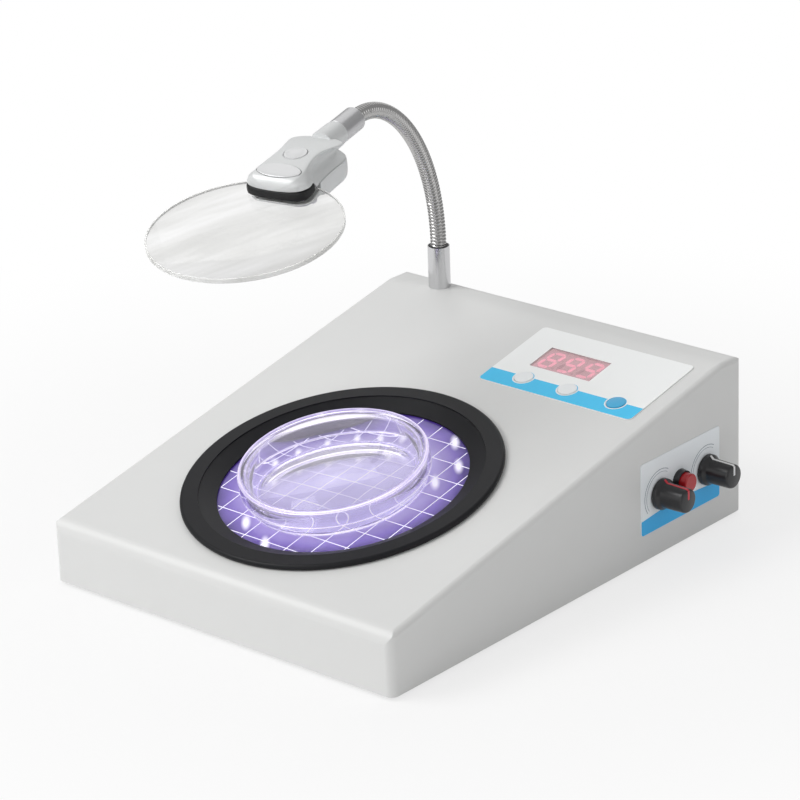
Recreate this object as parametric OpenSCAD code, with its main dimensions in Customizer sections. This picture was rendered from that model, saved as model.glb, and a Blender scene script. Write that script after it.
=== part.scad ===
// Colony counter: a sloped bench casing with a lit counting stage, a display
// panel, side controls, a Petri dish on the stage and a gooseneck magnifier.
// Millimetres, +Z up. The origin is the centre of the footprint, on the bench.

/* [Casing] */
// Width of the casing
case_w = 220; // [200:1:260]
// Depth of the casing
case_d = 271.5; // [255:0.5:325]
// Height of the top edge at the front
front_h = 33.2; // [31:0.1:40]
// Height of the level band at the back
back_h = 85.4; // [80:0.1:100]
// Depth of the level band at the back
band_d = 17.2; // [16:0.1:24]
// Thickness of the casing sheet
sheet = 1.5; // [1:0.1:2]
// Radius of the bend along the front top edge
front_bend_r = 7; // [4:0.5:9]
// Radius of the bends along the back edges
back_bend_r = 6; // [3:0.5:9]
// Radius of the soft bend where the slope meets the level band
crest_bend_r = 30; // [15:1:40]
// Radius of the upright corners
corner_r = 4; // [2:0.5:6]
// Radius of the bends between the top and the side walls
edge_bend_r = 3; // [2:0.5:5]
// Height of the rubber feet under the base plate
foot_h = 1.5; // [1:0.1:4]
// Diameter of a rubber foot
foot_d = 16; // [10:1:20]

/* [Stage] */
// Distance of the stage centre up the slope from the front edge
stage_s = 94; // [88:0.5:96]
// Outer diameter of the black bezel
bezel_d = 161.4; // [150:0.2:166]
// Height of the bezel above the casing
bezel_h = 3.2; // [2.5:0.1:4]
// Width of the flat outer lip of the bezel
bezel_lip = 9.3; // [7:0.1:11]
// Diameter of the opening in the bezel
aperture_d = 125.6; // [118:0.2:127]
// Depth of the opening's edge below the casing top
aperture_drop = 1; // [0.6:0.1:1.4]
// Thickness of the counting plate
plate_t = 3; // [2:0.1:4]
// Travel of the counting plate when it is pressed
stage_travel = 0.6; // [0.4:0.1:0.7]
// Shift of the dish down the slope from the stage centre
grid_shift = 4; // [0:0.5:5]
// Depth of the light chamber below the casing top
chamber_depth = 30; // [24:1:30]
// Number of lamps round the stage
lamp_count = 24; // [12:12:24]

/* [Dish] */
// Outer diameter of the dish base
dish_d = 90; // [80:1:96]
// Height of the dish base
dish_h = 14; // [10:0.5:20]
// Outer diameter of the dish lid
lid_d = 95; // [85:0.5:101]
// Depth of the lid's skirt
lid_skirt = 8; // [4:0.5:12]
// Wall of the dish and its lid
dish_wall = 1.3; // [1:0.1:2]

/* [Display panel] */
// Left edge of the panel from the centre line
panel_x = 3.2; // [1:0.1:6]
// Width of the panel
panel_w = 96.1; // [94:0.1:100]
// Lower edge of the panel up the slope
panel_s = 197; // [192:0.5:198]
// Height of the panel along the slope
panel_l = 55; // [53:0.5:58]
// Thickness of the panel foil
panel_t = 0.6; // [0.3:0.1:0.8]
// Width of the display window
window_w = 38.2; // [36:0.1:40]
// Height of the display window along the slope
window_l = 18.8; // [17:0.1:20]
// Diameter of a panel key
key_d = 9.8; // [8:0.1:11]
// Height of a panel key above the foil
key_h = 0.9; // [0.5:0.1:1.5]
// Travel of a panel key
key_travel = 0.4; // [0.2:0.1:0.4]

/* [Side controls] */
// Distance of the side label from the front of the casing
label_y = 187.2; // [180:0.1:192]
// Length of the side label
label_w = 64.6; // [62:0.1:68]
// Lower edge of the side label
label_z = 15.6; // [12:0.1:16]
// Height of the side label
label_h = 38.1; // [36:0.1:40]
// Thickness of the side label
label_t = 0.4; // [0.2:0.1:0.6]
// Height of the knob shafts above the bench
knob_z = 33.8; // [32:0.1:36]
// Diameter of a knob's skirt
knob_d = 16; // [14:0.1:17]
// Diameter of a knob at its face
knob_face_d = 11.8; // [10:0.1:13]
// Height of a knob
knob_h = 17; // [14:0.1:20]
// Diameter of the control shafts
shaft_d = 6; // [5.5:0.1:6.2]
// Diameter of the push-button cap
cap_d = 9.6; // [8:0.1:10]
// Height of the push-button cap above the label
cap_h = 7.2; // [6:0.1:9]
// Travel of the push-button
cap_travel = 2.5; // [1:0.1:2.5]

/* [Gooseneck] */
// Distance of the neck from the centre line, to the left
neck_x = 79; // [70:1:85]
// Distance of the neck from the back face
neck_back = 11; // [10:0.1:14]
// Turn of the neck's plane towards the stage
neck_yaw = 12; // [0:1:20]
// Outer diameter of the neck's coil
coil_d = 8.6; // [8:0.1:9.4]
// Pitch of the neck's coil
coil_pitch = 1.96; // [1.8:0.01:2.2]
// Number of links in the neck
link_count = 8; // [8:1:8]
// Length of the neck between its two sockets
neck_len = 137.6; // [120:0.1:160]
// Even part of the neck's bend
neck_sweep = 77; // [60:1:85]
// Extra bend close to the head
neck_hook = 20; // [5:1:30]
// Outer diameter of the lower socket
socket_d = 11.8; // [11.4:0.1:14]
// Height of the lower socket
socket_h = 22.8; // [18:0.1:28]

/* [Magnifier] */
// Diameter of the lens
lens_d = 97; // [85:0.5:107]
// Thickness of the lens at its edge
lens_edge = 2.5; // [2:0.1:3.5]
// Rise of each face of the lens
lens_rise = 2.5; // [1.5:0.1:4]
// Tilt of the lens below level
head_pitch = 10.8; // [0:0.1:20]
// Distance from the end of the neck to the lens centre, along the head
head_reach = 112.5; // [105:0.5:120]
// Height of the neck's end above the lens
head_rise = 4; // [3:0.1:5]
// Diameter of the sleeve and collar behind the head
sleeve_d = 12.8; // [11:0.1:14]
// Half width of the head at its front
head_front_w = 16.5; // [14:0.5:18]
// Diameter of the head's lamp button
head_button_d = 12; // [9:0.1:13]

/* [Hidden] */
$fn = 64;

// Clearances between pieces
slip = 0.3;
bore_play = 0.05;
near = 0.1;
// Overlap that keeps a cut from ending on a face
cut = 1;

// Casing
slope = atan((back_h - front_h) / (case_d - band_d));
front_y = -case_d / 2;
back_y = case_d / 2;
wall_x = case_w / 2;
plate_z = foot_h;
floor_z = foot_h + sheet;
tab_size = 14;
tab_t = 3;
tab_inset = sheet + tab_size / 2 + 6;
foot_inset = 24;
foot_stem_d = 5;
screw_d = 3;
screw_hole_d = 3.4;
screw_head_d = 5.6;
screw_head_h = 1.2;
screw_len = 6;

// Stage, all measured from the casing top, along its normal
plate_top = -(aperture_drop + 1);
rim_wall = 2.2;
plate_d = aperture_d + 4.4;
rim_d = plate_d + 2 * rim_wall;
rim_ledge = 1.2;
rim_bottom = plate_top - plate_t - rim_ledge;
skirt_in_d = rim_d + 2 * slip;
skirt_wall = 1.6;
skirt_d = skirt_in_d + 2 * skirt_wall;
skirt_drop = 9;
lip_t = 0.8;
step_drop = 0.6;
post_d = 6;
spacer_d = 9;
post_r = skirt_d / 2 + spacer_d / 2 + slip;
flange_top = -12;
flange_t = 2;
bowl_in_d = aperture_d - 10;
bowl_wall = 2;
board_t = 1.2;
lamp_r = aperture_d / 2 - 0.9;
lamp_w = 3.5;
lamp_h = 1.9;
cushion_r = rim_d / 2 - 2;
cushion_d = 3.4;
press_angle = 270;

// Dish
dish_s = stage_s - grid_shift;
lid_top_t = 1.3;
foot_ring_h = 0.3;
lid_ridge = 2.4;

// Display panel
panel_mid_s = panel_s + panel_l / 2;
window_x = panel_x + 35.9;
window_s = panel_s + 30.4;
key_s = panel_s + 10.1;
key_x = [panel_x + 21.8, panel_x + 49.7, panel_x + 80.2];
key_hole_d = key_d + 0.6;
key_flange_d = key_d + 2.4;
key_flange_t = 0.8;
module_w = window_w - 0.6;
module_l = window_l + 0.2;
module_top = -0.4;
pcb_t = 1.6;
tact_w = 6;
tact_h = 3.5;
tact_pin_d = 3.5;
tact_pin_h = 0.6;
key_gap = 0.7;
pcb_top = -sheet - slip - key_flange_t - key_gap - tact_pin_h - tact_h;
board_margin = 4;

// Side controls
knob_y = [label_y + 15.6, label_y + 53.6];
cap_y = label_y + 31.4;
cap_z = knob_z + 1.6;
control_d = 16.5;
control_t = 9;
bush_d = 7;
bush_h = 5;
nut_af = 10;
nut_t = 2;
label_corner_r = 1.5;
skirt_h = 3.4;
knob_wall = 1.2;
shaft_in = control_t + 1;
shaft_out = knob_h - 4;
collar_d = 12;
collar_h = 3.2;
button_body_d = 10;
button_body_t = 16;
plunger_d = 5;
plunger_len = 12;

// Back connections
inlet_x = 66;
inlet_z = 32;
inlet_d = 8;
inlet_rim_h = 2;
inlet_len = 12;
inlet_bore_d = 5.6;
inlet_bore_len = 9;
inlet_pin_d = 2;
switch_x = 34;
switch_z = 32;
switch_w = 21;
switch_l = 15;

// Rocker switch
rocker_w = 12;
rocker_l = 10;
rocker_pin_d = 2.4;

// Main board
main_x = -54;
main_y = 70;
main_w = 76;
main_l = 70;
main_z = floor_z + 6;
buzzer_x = 24;
buzzer_y = 2;
buzzer_d = 12;
buzzer_h = 9;

// Gooseneck
neck_y = back_y - neck_back;
link_len = neck_len / link_count;
first_joint = socket_h + 0.5;
wire_r = 0.9;
coil_r = coil_d / 2 - wire_r;
core_r = coil_r - 0.1;
ball_r = 2.1;
cup_r = ball_r + slip;
cup_out_r = cup_r + 0.5;
cup_drop = 1;
stem_r = 1.1;
coil_end = 2.1;
core_end = 2.4;
turns = floor((link_len - 2 * coil_end) / coil_pitch) + 1;
stub_d = 10;
stub_len = 9;
socket_bore = 4;
function link_tilt(i) = let(t = (i + 0.5) / link_count) neck_sweep * t + neck_hook * pow(t, 6);
function joint_u(i) = i == 0 ? 0 : joint_u(i - 1) + link_len * sin(link_tilt(i - 1));
function joint_w(i) = i == 0 ? first_joint : joint_w(i - 1) + link_len * cos(link_tilt(i - 1));

// Magnifier head, measured from the lens centre: backwards and upwards
lens_r = lens_d / 2;
lens_ball_r = (pow(lens_r, 2) + pow(lens_rise, 2)) / (2 * lens_rise);
jaw_front = lens_r - 21;
jaw_back = jaw_front + 13.5;
head_split = 2.4;
jaw_top = 7;
head_back = lens_r + 32;
sleeve_tilt = neck_sweep + neck_hook;
head_top = 14.5;
head_edge_r = 4;
head_rear_r = 15;
head_waist = 12;
button_v = jaw_front + 26;
sleeve_len = 18;
spigot_d = 9;
spigot_len = 6;
sleeve_start = coil_end - wire_r + 0.6;
collar_start = sleeve_start + sleeve_len;
collar_len = head_reach - head_back + 1.5 - collar_start;
head_belly = 11.4;
head_button_travel = 0.8;
button_sunk = 3.6;
button_stem_d = 4;
head_board_w = 18;
head_board_l = 21;
head_board_v = jaw_back + 16;
head_switch_h = tact_h + 0.7;
head_lamp_d = 5;
cell_d = 20;
cell_t = 3.2;
cell_v = (lens_r + head_back - 2) / 2;
cell_room = 8;
door_w = 23;
door_l = 22;
door_t = 1.2;

// Frames
module on_slope(s, x = 0, h = 0) {
    translate([0, front_y, front_h]) rotate([slope, 0, 0]) translate([x, s, h]) children();
}
module on_side(y, z) {
    translate([wall_x, front_y + y, z]) rotate([0, 90, 0]) children();
}
module on_back(x, z) {
    translate([x, back_y, z]) rotate([-90, 0, 0]) children();
}
module in_neck() {
    translate([-neck_x, neck_y, back_h]) rotate([0, 0, neck_yaw]) children();
}
module in_link(i, tilt) {
    in_neck() translate([0, -joint_u(i), joint_w(i)]) rotate([tilt, 0, 0]) children();
}
module in_sleeve() {
    in_link(link_count, sleeve_tilt) children();
}
module in_head() {
    in_neck() translate([0, -joint_u(link_count), joint_w(link_count)]) rotate([head_pitch, 0, 0])
        translate([0, -head_reach, -head_rise]) children();
}

// Shared shapes
module ring(d_out, d_in, h) {
    difference() {
        cylinder(d = d_out, h = h);
        translate([0, 0, -cut]) cylinder(d = d_in, h = h + 2 * cut);
    }
}
module plate(w, l, h) {
    translate([-w / 2, -l / 2, 0]) cube([w, l, h]);
}
module rounded(w, l, r) {
    square([w - 2 * r, l], center = true);
    square([w, l - 2 * r], center = true);
    for (x = [-1, 1], y = [-1, 1]) translate([x * (w / 2 - r), y * (l / 2 - r)]) circle(r = r);
}
module hexagon(af) {
    circle(d = af / cos(30), $fn = 6);
}
// A pan-head screw whose head rests on z = 0 and whose shank runs up
module screw(len = screw_len) {
    difference() {
        translate([0, 0, -screw_head_h]) cylinder(d = screw_head_d, h = screw_head_h);
        for (a = [0, 90]) rotate(a) translate([-1.6, -0.4, -screw_head_h - cut]) cube([3.2, 0.8, cut + 0.9]);
    }
    cylinder(d = screw_d, h = len);
}

// Casing
// Corner of the side outline: the point where two straight edges would meet, then its bend
function slope_z(y, inset) = front_h + (y - front_y) * tan(slope) - inset / cos(slope);
function crest_y(inset) = back_y - band_d + inset * (1 / cos(slope) - 1) / tan(slope);
module side_outline(inset, z0) {
    y0 = front_y + inset;
    y1 = back_y - inset;
    z1 = back_h - inset;
    fr = front_bend_r - inset;
    br = back_bend_r - inset;
    cr = crest_bend_r - inset;
    // Lengths from each sharp corner to where its bend starts
    ft = fr * tan((90 - slope) / 2);
    ct = cr * tan(slope / 2);
    fz = slope_z(y0, inset);
    yc = crest_y(inset);
    front_c = [y0 + fr, fz - ft];
    crest_c = [yc + ct, z1 - cr];
    polygon([
        [y0, z0], [y0, fz - ft], front_c, [y0 + ft * cos(slope), fz + ft * sin(slope)],
        [yc - ct * cos(slope), z1 - ct * sin(slope)], crest_c, [yc + ct, z1],
        [y1 - br, z1], [y1 - br, z1 - br], [y1, z1 - br], [y1, z0]
    ]);
    translate(front_c) circle(r = fr);
    translate(crest_c) circle(r = cr, $fn = 180);
    translate([y1 - br, z1 - br]) circle(r = br);
}
module casing_form(inset, z0) {
    intersection() {
        translate([-wall_x + inset, 0, 0]) rotate([90, 0, 90])
            linear_extrude(case_w - 2 * inset) side_outline(inset, z0);
        translate([0, 0, z0]) linear_extrude(back_h)
            rounded(case_w - 2 * inset, case_d - 2 * inset, corner_r - inset / 2);
        on_slope(0, 0, -inset) edge_bends(inset);
        translate([0, 0, back_h - inset]) edge_bends(inset);
    }
}
// A long bar under a level top, with a bend along each side; it rounds the top's side edges
module edge_bends(inset) {
    r = edge_bend_r - inset;
    w = case_w - 2 * inset;
    rotate([90, 0, 0]) linear_extrude(4 * case_d, center = true) {
        translate([-w / 2, -4 * back_h]) square([w, 4 * back_h - r]);
        translate([r - w / 2, -2 * r]) square([w - 2 * r, 2 * r]);
        for (x = [-1, 1]) translate([x * (w / 2 - r), -r]) circle(r = r);
    }
}
module at_tabs() {
    for (x = [-1, 1], y = [-1, 0, 1])
        translate([x * (wall_x - tab_inset), y * (case_d / 2 - tab_inset), 0]) children();
}
module casing() {
    color("gainsboro") {
        difference() {
            casing_form(0, foot_h);
            casing_form(sheet, foot_h - cut);
            on_slope(stage_s, 0, -sheet - cut) cylinder(d = skirt_d + 1, h = sheet + 2 * cut);
            at_posts(-sheet - cut) cylinder(d = post_d + 0.4, h = sheet + 2 * cut);
            on_slope(window_s, window_x, -sheet - cut) plate(module_w + 0.4, module_l + 0.4, sheet + 2 * cut);
            at_keys(-sheet - cut) cylinder(d = key_hole_d, h = sheet + 2 * cut);
            at_knobs(-sheet - cut) cylinder(d = bush_d + near, h = sheet + 2 * cut);
            on_side(cap_y, cap_z) translate([0, 0, -sheet - cut])
                cylinder(d = button_body_d + near, h = sheet + 2 * cut);
            on_back(inlet_x, inlet_z) translate([0, 0, -sheet - cut])
                cylinder(d = inlet_d + near, h = sheet + 2 * cut);
            on_back(switch_x, switch_z) translate([0, 0, -sheet - cut])
                plate(switch_w - 2, switch_l - 2, sheet + 2 * cut);
            in_neck() translate([0, 0, -sheet - cut]) cylinder(d = stub_d + near, h = sheet + 2 * cut);
        }
        difference() {
            for (x = [-1, 1], y = [-1, 0, 1]) casing_tab(x, y);
            at_tabs() translate([0, 0, floor_z - cut]) cylinder(d = screw_d, h = tab_t + 2 * cut);
        }
    }
}
// Folded tab that takes one of the base screws; it reaches out to the side wall
module casing_tab(x, y) {
    reach = tab_inset - sheet + tab_size / 2;
    translate([x * (wall_x - sheet - reach / 2), y * (case_d / 2 - tab_inset), floor_z])
        plate(reach, tab_size, tab_t);
}
module base_plate() {
    color("silver") difference() {
        translate([0, 0, plate_z]) linear_extrude(sheet)
            rounded(case_w - 2 * sheet - 2 * slip, case_d - 2 * sheet - 2 * slip, corner_r);
        at_tabs() translate([0, 0, plate_z - cut]) cylinder(d = screw_hole_d, h = sheet + 2 * cut);
        at_feet() translate([0, 0, plate_z - cut]) cylinder(d = foot_stem_d, h = sheet + 2 * cut);
        at_main_posts() translate([0, 0, plate_z - cut]) cylinder(d = screw_hole_d, h = sheet + 2 * cut);
    }
}
module at_feet() {
    for (x = [-1, 1], y = [-1, 1])
        translate([x * (wall_x - foot_inset - tab_size), y * (case_d / 2 - foot_inset), 0]) children();
}
module feet() {
    color("dimgray") at_feet() {
        cylinder(d = foot_d, h = foot_h);
        translate([0, 0, foot_h]) cylinder(d = foot_stem_d, h = sheet);
        translate([0, 0, floor_z]) cylinder(d1 = foot_stem_d + 1.4, d2 = foot_stem_d - 1, h = 2);
    }
}
module screws() {
    color("silver") {
        at_tabs() translate([0, 0, plate_z]) screw(sheet + tab_t + 0.5);
        at_main_posts() translate([0, 0, plate_z]) screw(sheet + 4);
        at_posts(flange_top - flange_t) screw(screw_len + flange_t);
        at_display_posts(pcb_top - pcb_t) screw(pcb_t + 4);
    }
}

// Stage
module at_posts(h) {
    for (a = [45:90:315]) on_slope(stage_s, 0, h) rotate(a) translate([post_r, 0, 0]) children();
}
module bezel() {
    lip_in = bezel_d / 2 - bezel_lip;
    round_r = bezel_h / 2;
    color("#262628") {
        on_slope(stage_s) rotate_extrude($fn = 128) {
            translate([bezel_d / 2 - round_r, round_r]) circle(r = round_r, $fn = 32);
            polygon([
                [bezel_d / 2 - round_r, 0], [bezel_d / 2 - round_r, bezel_h], [lip_in, bezel_h],
                [lip_in, bezel_h - step_drop], [aperture_d / 2, -aperture_drop],
                [aperture_d / 2, -aperture_drop - lip_t], [skirt_in_d / 2, -aperture_drop - lip_t],
                [skirt_in_d / 2, -skirt_drop], [skirt_d / 2, -skirt_drop], [skirt_d / 2, 0]
            ]);
        }
        difference() {
            at_posts(flange_top) cylinder(d = post_d, h = -flange_top + near);
            at_posts(flange_top - cut) cylinder(d = screw_d, h = screw_len + cut + near);
        }
    }
}
module stage_plate() {
    color("lavender", 0.6) on_slope(stage_s, 0, plate_top - plate_t)
        cylinder(d = plate_d - near, h = plate_t, $fn = 128);
}
module stage_rim() {
    color("#303034") on_slope(stage_s, 0, rim_bottom) difference() {
        cylinder(d = rim_d, h = plate_t + rim_ledge, $fn = 128);
        translate([0, 0, rim_ledge]) cylinder(d = plate_d, h = plate_t + cut, $fn = 128);
        translate([0, 0, -cut]) cylinder(d = aperture_d - 0.6, h = rim_ledge + 2 * cut, $fn = 128);
    }
}
module light_chamber() {
    color("#1c1c20") difference() {
        union() {
            on_slope(stage_s, 0, -chamber_depth)
                cylinder(d = bowl_in_d + 2 * bowl_wall, h = chamber_depth + flange_top);
            on_slope(stage_s, 0, flange_top - flange_t) cylinder(d = skirt_d - 1, h = flange_t);
            at_posts(flange_top - flange_t) translate([-spacer_d / 2, 0, 0])
                plate(spacer_d, spacer_d - 2, flange_t);
            at_posts(flange_top - flange_t) cylinder(d = spacer_d, h = flange_t - flange_top - sheet);
        }
        on_slope(stage_s, 0, bowl_wall - chamber_depth) cylinder(d = bowl_in_d, h = chamber_depth);
        at_posts(flange_top - flange_t - cut) cylinder(d = screw_hole_d, h = flange_t + 2 * cut);
        at_posts(flange_top) cylinder(d = post_d + 0.4, h = -flange_top);
    }
}
module lamp_board() {
    color("white") difference() {
        on_slope(stage_s, 0, flange_top) ring(skirt_d - 2, bowl_in_d + 1, board_t);
        at_cushions(flange_top - cut) cylinder(d = cushion_d + 1, h = board_t + 2 * cut);
        on_slope(stage_s, 0, flange_top - cut) rotate(press_angle) translate([rim_d / 2 - 3, 0, 0])
            plate(8, 6, board_t + 2 * cut);
    }
}
module lamps() {
    color("lightyellow") on_slope(stage_s, 0, flange_top + board_t)
        for (i = [0:lamp_count - 1]) rotate((i + 0.5) * 360 / lamp_count) translate([lamp_r, 0, 0])
            plate(2.8, lamp_w, lamp_h);
}
module at_cushions(h) {
    for (a = [45:90:315]) on_slope(stage_s, 0, h) rotate(a) translate([cushion_r, 0, 0]) children();
}
module stage_cushions() {
    color("gray") at_cushions(flange_top)
        cylinder(d = cushion_d, h = rim_bottom - stage_travel - near - flange_top);
}
module press_switch() {
    h = rim_bottom - stage_travel - near - flange_top;
    color("#404044") on_slope(stage_s, 0, flange_top) rotate(press_angle) translate([rim_d / 2 - 3, 0, 0]) {
        plate(5, 5, h - 1);
        translate([0, 0, h - 1]) cylinder(d = 3, h = 1);
    }
}

// Dish
module dish_base() {
    color("aliceblue", 0.5) on_slope(dish_s, 0, plate_top) difference() {
        cylinder(d = dish_d, h = dish_h, $fn = 128);
        translate([0, 0, dish_wall]) cylinder(d = dish_d - 2 * dish_wall, h = dish_h, $fn = 128);
        translate([0, 0, -cut]) cylinder(d = dish_d - 4 * dish_wall, h = cut + foot_ring_h, $fn = 128);
    }
}
module dish_lid() {
    color("aliceblue", 0.5) on_slope(dish_s, 0, plate_top + dish_h + near) difference() {
        translate([0, 0, -lid_skirt]) cylinder(d = lid_d, h = lid_skirt + lid_top_t - foot_ring_h, $fn = 128);
        translate([0, 0, -lid_skirt - cut]) cylinder(d = lid_d - 2 * dish_wall, h = lid_skirt + cut, $fn = 128);
    }
    color("aliceblue", 0.5) on_slope(dish_s, 0, plate_top + dish_h + near + lid_top_t - foot_ring_h - near)
        ring(lid_d - 2 * near, lid_d - 2 * lid_ridge, foot_ring_h + near);
}

// Display panel
module at_keys(h) {
    for (x = key_x) on_slope(key_s, x, h) children();
}
module panel_foil() {
    color("white") difference() {
        on_slope(panel_mid_s, panel_x + panel_w / 2) linear_extrude(panel_t) rounded(panel_w, panel_l, 2.5);
        on_slope(window_s, window_x, -cut) plate(window_w + near, window_l + near, panel_t + 2 * cut);
        at_keys(-cut) cylinder(d = key_hole_d, h = panel_t + 2 * cut);
    }
}
module display_window() {
    color("#a05a64", 0.7) on_slope(window_s, window_x) plate(window_w, window_l, panel_t - near);
}
module display_module() {
    color("#505054") on_slope(window_s, window_x, pcb_top) plate(module_w, module_l, module_top - pcb_top);
}
display_x0 = key_x[0] - key_flange_d;
display_x1 = key_x[2] + key_flange_d;
display_s0 = key_s - key_flange_d / 2;
display_s1 = window_s + window_l / 2 + board_margin;
module at_display_posts(h) {
    for (x = [display_x0 + 3, display_x1 - 3], s = [key_s + 1, display_s1 - 3.5]) on_slope(s, x, h) children();
}
module display_board() {
    color("seagreen") difference() {
        on_slope((display_s0 + display_s1) / 2, (display_x0 + display_x1) / 2, pcb_top - pcb_t)
            plate(display_x1 - display_x0, display_s1 - display_s0, pcb_t);
        at_display_posts(pcb_top - pcb_t - cut) cylinder(d = screw_hole_d, h = pcb_t + 2 * cut);
    }
}
module board_posts() {
    color("silver") {
        difference() {
            at_display_posts(pcb_top) cylinder(d = 5, h = -pcb_top - sheet);
            at_display_posts(pcb_top - cut) cylinder(d = screw_d, h = cut + 4);
        }
        difference() {
            at_main_posts() translate([0, 0, floor_z]) cylinder(d = 6, h = main_z - floor_z);
            at_main_posts() translate([0, 0, floor_z - cut]) cylinder(d = screw_d, h = cut + 4);
        }
    }
}
module key_switches() {
    color("#404044") at_keys(pcb_top) {
        plate(tact_w, tact_w, tact_h);
        translate([0, 0, tact_h]) cylinder(d = tact_pin_d, h = tact_pin_h);
    }
}
// A key: a domed cap above the foil, and a flange that holds it under the casing sheet
module panel_key(x, tint) {
    top = panel_t + key_h;
    flange_top_h = -sheet - slip;
    // The stem stops one travel above the switch, so a press closes it
    stem_bottom = pcb_top + tact_h + tact_pin_h + key_travel + near;
    dome_r = (pow(key_d / 2, 2) + 0.25) / 1;
    color(tint) on_slope(key_s, x) {
        intersection() {
            translate([0, 0, flange_top_h]) cylinder(d = key_d, h = top - flange_top_h);
            translate([0, 0, top - dome_r]) sphere(r = dome_r, $fn = 96);
        }
        translate([0, 0, flange_top_h - key_flange_t]) cylinder(d = key_flange_d, h = key_flange_t);
        translate([0, 0, stem_bottom]) cylinder(d = 3, h = flange_top_h - key_flange_t - stem_bottom);
    }
}
module key_left() {
    panel_key(key_x[0], "white");
}
module key_middle() {
    panel_key(key_x[1], "white");
}
module key_right() {
    panel_key(key_x[2], "deepskyblue");
}

// Side controls
module at_knobs(h) {
    for (y = knob_y) on_side(y, knob_z) translate([0, 0, h]) children();
}
module side_label() {
    color("lightgray") difference() {
        on_side(label_y + label_w / 2, label_z + label_h / 2) linear_extrude(label_t)
            rounded(label_h, label_w, label_corner_r);
        at_knobs(-cut) cylinder(d = bush_d + near, h = label_t + 2 * cut);
        on_side(cap_y, cap_z) translate([0, 0, -cut]) cylinder(d = button_body_d + near, h = label_t + 2 * cut);
    }
}
module control(y) {
    color("slategray") on_side(y, knob_z) difference() {
        union() {
            translate([0, 0, -sheet - control_t]) cylinder(d = control_d, h = control_t);
            translate([0, 0, -sheet]) cylinder(d = bush_d, h = sheet + bush_h);
            translate([5, 0, -sheet - control_t]) plate(14, 13, 1.6);
        }
        translate([0, 0, -sheet - control_t - cut])
            cylinder(d = shaft_d + 2 * bore_play, h = control_t + sheet + bush_h + 2 * cut);
    }
}
module control_left() {
    control(knob_y[0]);
}
module control_right() {
    control(knob_y[1]);
}
module panel_nuts() {
    color("silver") {
        at_knobs(label_t) nut(nut_af, bush_d, nut_t);
        on_side(cap_y, cap_z) translate([0, 0, -sheet - nut_t]) nut(14, button_body_d, nut_t);
        on_back(inlet_x, inlet_z) translate([0, 0, -sheet - nut_t]) nut(11, inlet_d, nut_t);
        in_neck() translate([0, 0, -sheet - slip - 3]) nut(12.6, stub_d, 3);
    }
}
module nut(af, bore, t) {
    difference() {
        linear_extrude(t) hexagon(af);
        translate([0, 0, -cut]) cylinder(d = bore, h = t + 2 * cut);
    }
}
module shaft(y) {
    color("silver") on_side(y, knob_z) difference() {
        translate([0, 0, -sheet - shaft_in])
            cylinder(d = shaft_d, h = sheet + shaft_in + label_t + slip + shaft_out);
        translate([-shaft_d / 2, -0.4, label_t + slip + shaft_out - 5]) cube([shaft_d, 0.8, 5 + cut]);
    }
}
module shaft_left() {
    shaft(knob_y[0]);
}
module shaft_right() {
    shaft(knob_y[1]);
}
// A skirted pointer knob; its skirt is hollow and covers the nut
module knob(y) {
    neck_r = knob_d / 2 - 1.6;
    color("#1b1b1d") on_side(y, knob_z) translate([0, 0, label_t + slip]) difference() {
        rotate_extrude($fn = 96) polygon([
            [0, 0], [knob_d / 2, 0], [knob_d / 2, skirt_h - 1], [neck_r, skirt_h + 0.6],
            [knob_face_d / 2 + 0.3, knob_h - 1], [knob_face_d / 2 - 0.5, knob_h], [0, knob_h]
        ]);
        translate([0, 0, -cut]) cylinder(d = knob_d - 2 * knob_wall, h = skirt_h + cut - 1);
        translate([0, 0, -cut]) cylinder(d = bush_d + 1, h = bush_h + 1 + cut);
        cylinder(d = shaft_d, h = shaft_out + 0.2);
        for (a = [15:30:345]) rotate(a) translate([knob_d / 2 + 2.6, 0, skirt_h + 0.8])
            cylinder(r = 3.4, h = knob_h, $fn = 32);
    }
}
module knob_left() {
    knob(knob_y[0]);
}
module knob_right() {
    knob(knob_y[1]);
}
module button_body() {
    color("#1b1b1d") on_side(cap_y, cap_z) difference() {
        union() {
            translate([0, 0, label_t]) cylinder(d1 = collar_d, d2 = collar_d - 0.8, h = collar_h);
            translate([0, 0, -sheet - button_body_t])
                cylinder(d = button_body_d, h = sheet + button_body_t + label_t);
            for (x = [-2.5, 2.5]) translate([x, 0, -sheet - button_body_t - 4]) plate(0.6, 2.4, 4 + near);
        }
        translate([0, 0, label_t]) cylinder(d = cap_d + 2 * slip, h = collar_h + cut);
        translate([0, 0, -sheet - plunger_len]) cylinder(d = plunger_d + 2 * slip, h = collar_h + plunger_len);
    }
}
module button_cap() {
    seat = label_t + cap_travel + near;
    color("firebrick") on_side(cap_y, cap_z) {
        translate([0, 0, seat]) cylinder(d = cap_d, h = label_t + cap_h - seat - 0.5);
        translate([0, 0, label_t + cap_h - 0.5]) cylinder(d1 = cap_d, d2 = cap_d - 1, h = 0.5);
        translate([0, 0, -sheet - plunger_len + cap_travel + near])
            cylinder(d = plunger_d, h = sheet + plunger_len + near + label_t);
    }
}

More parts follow.
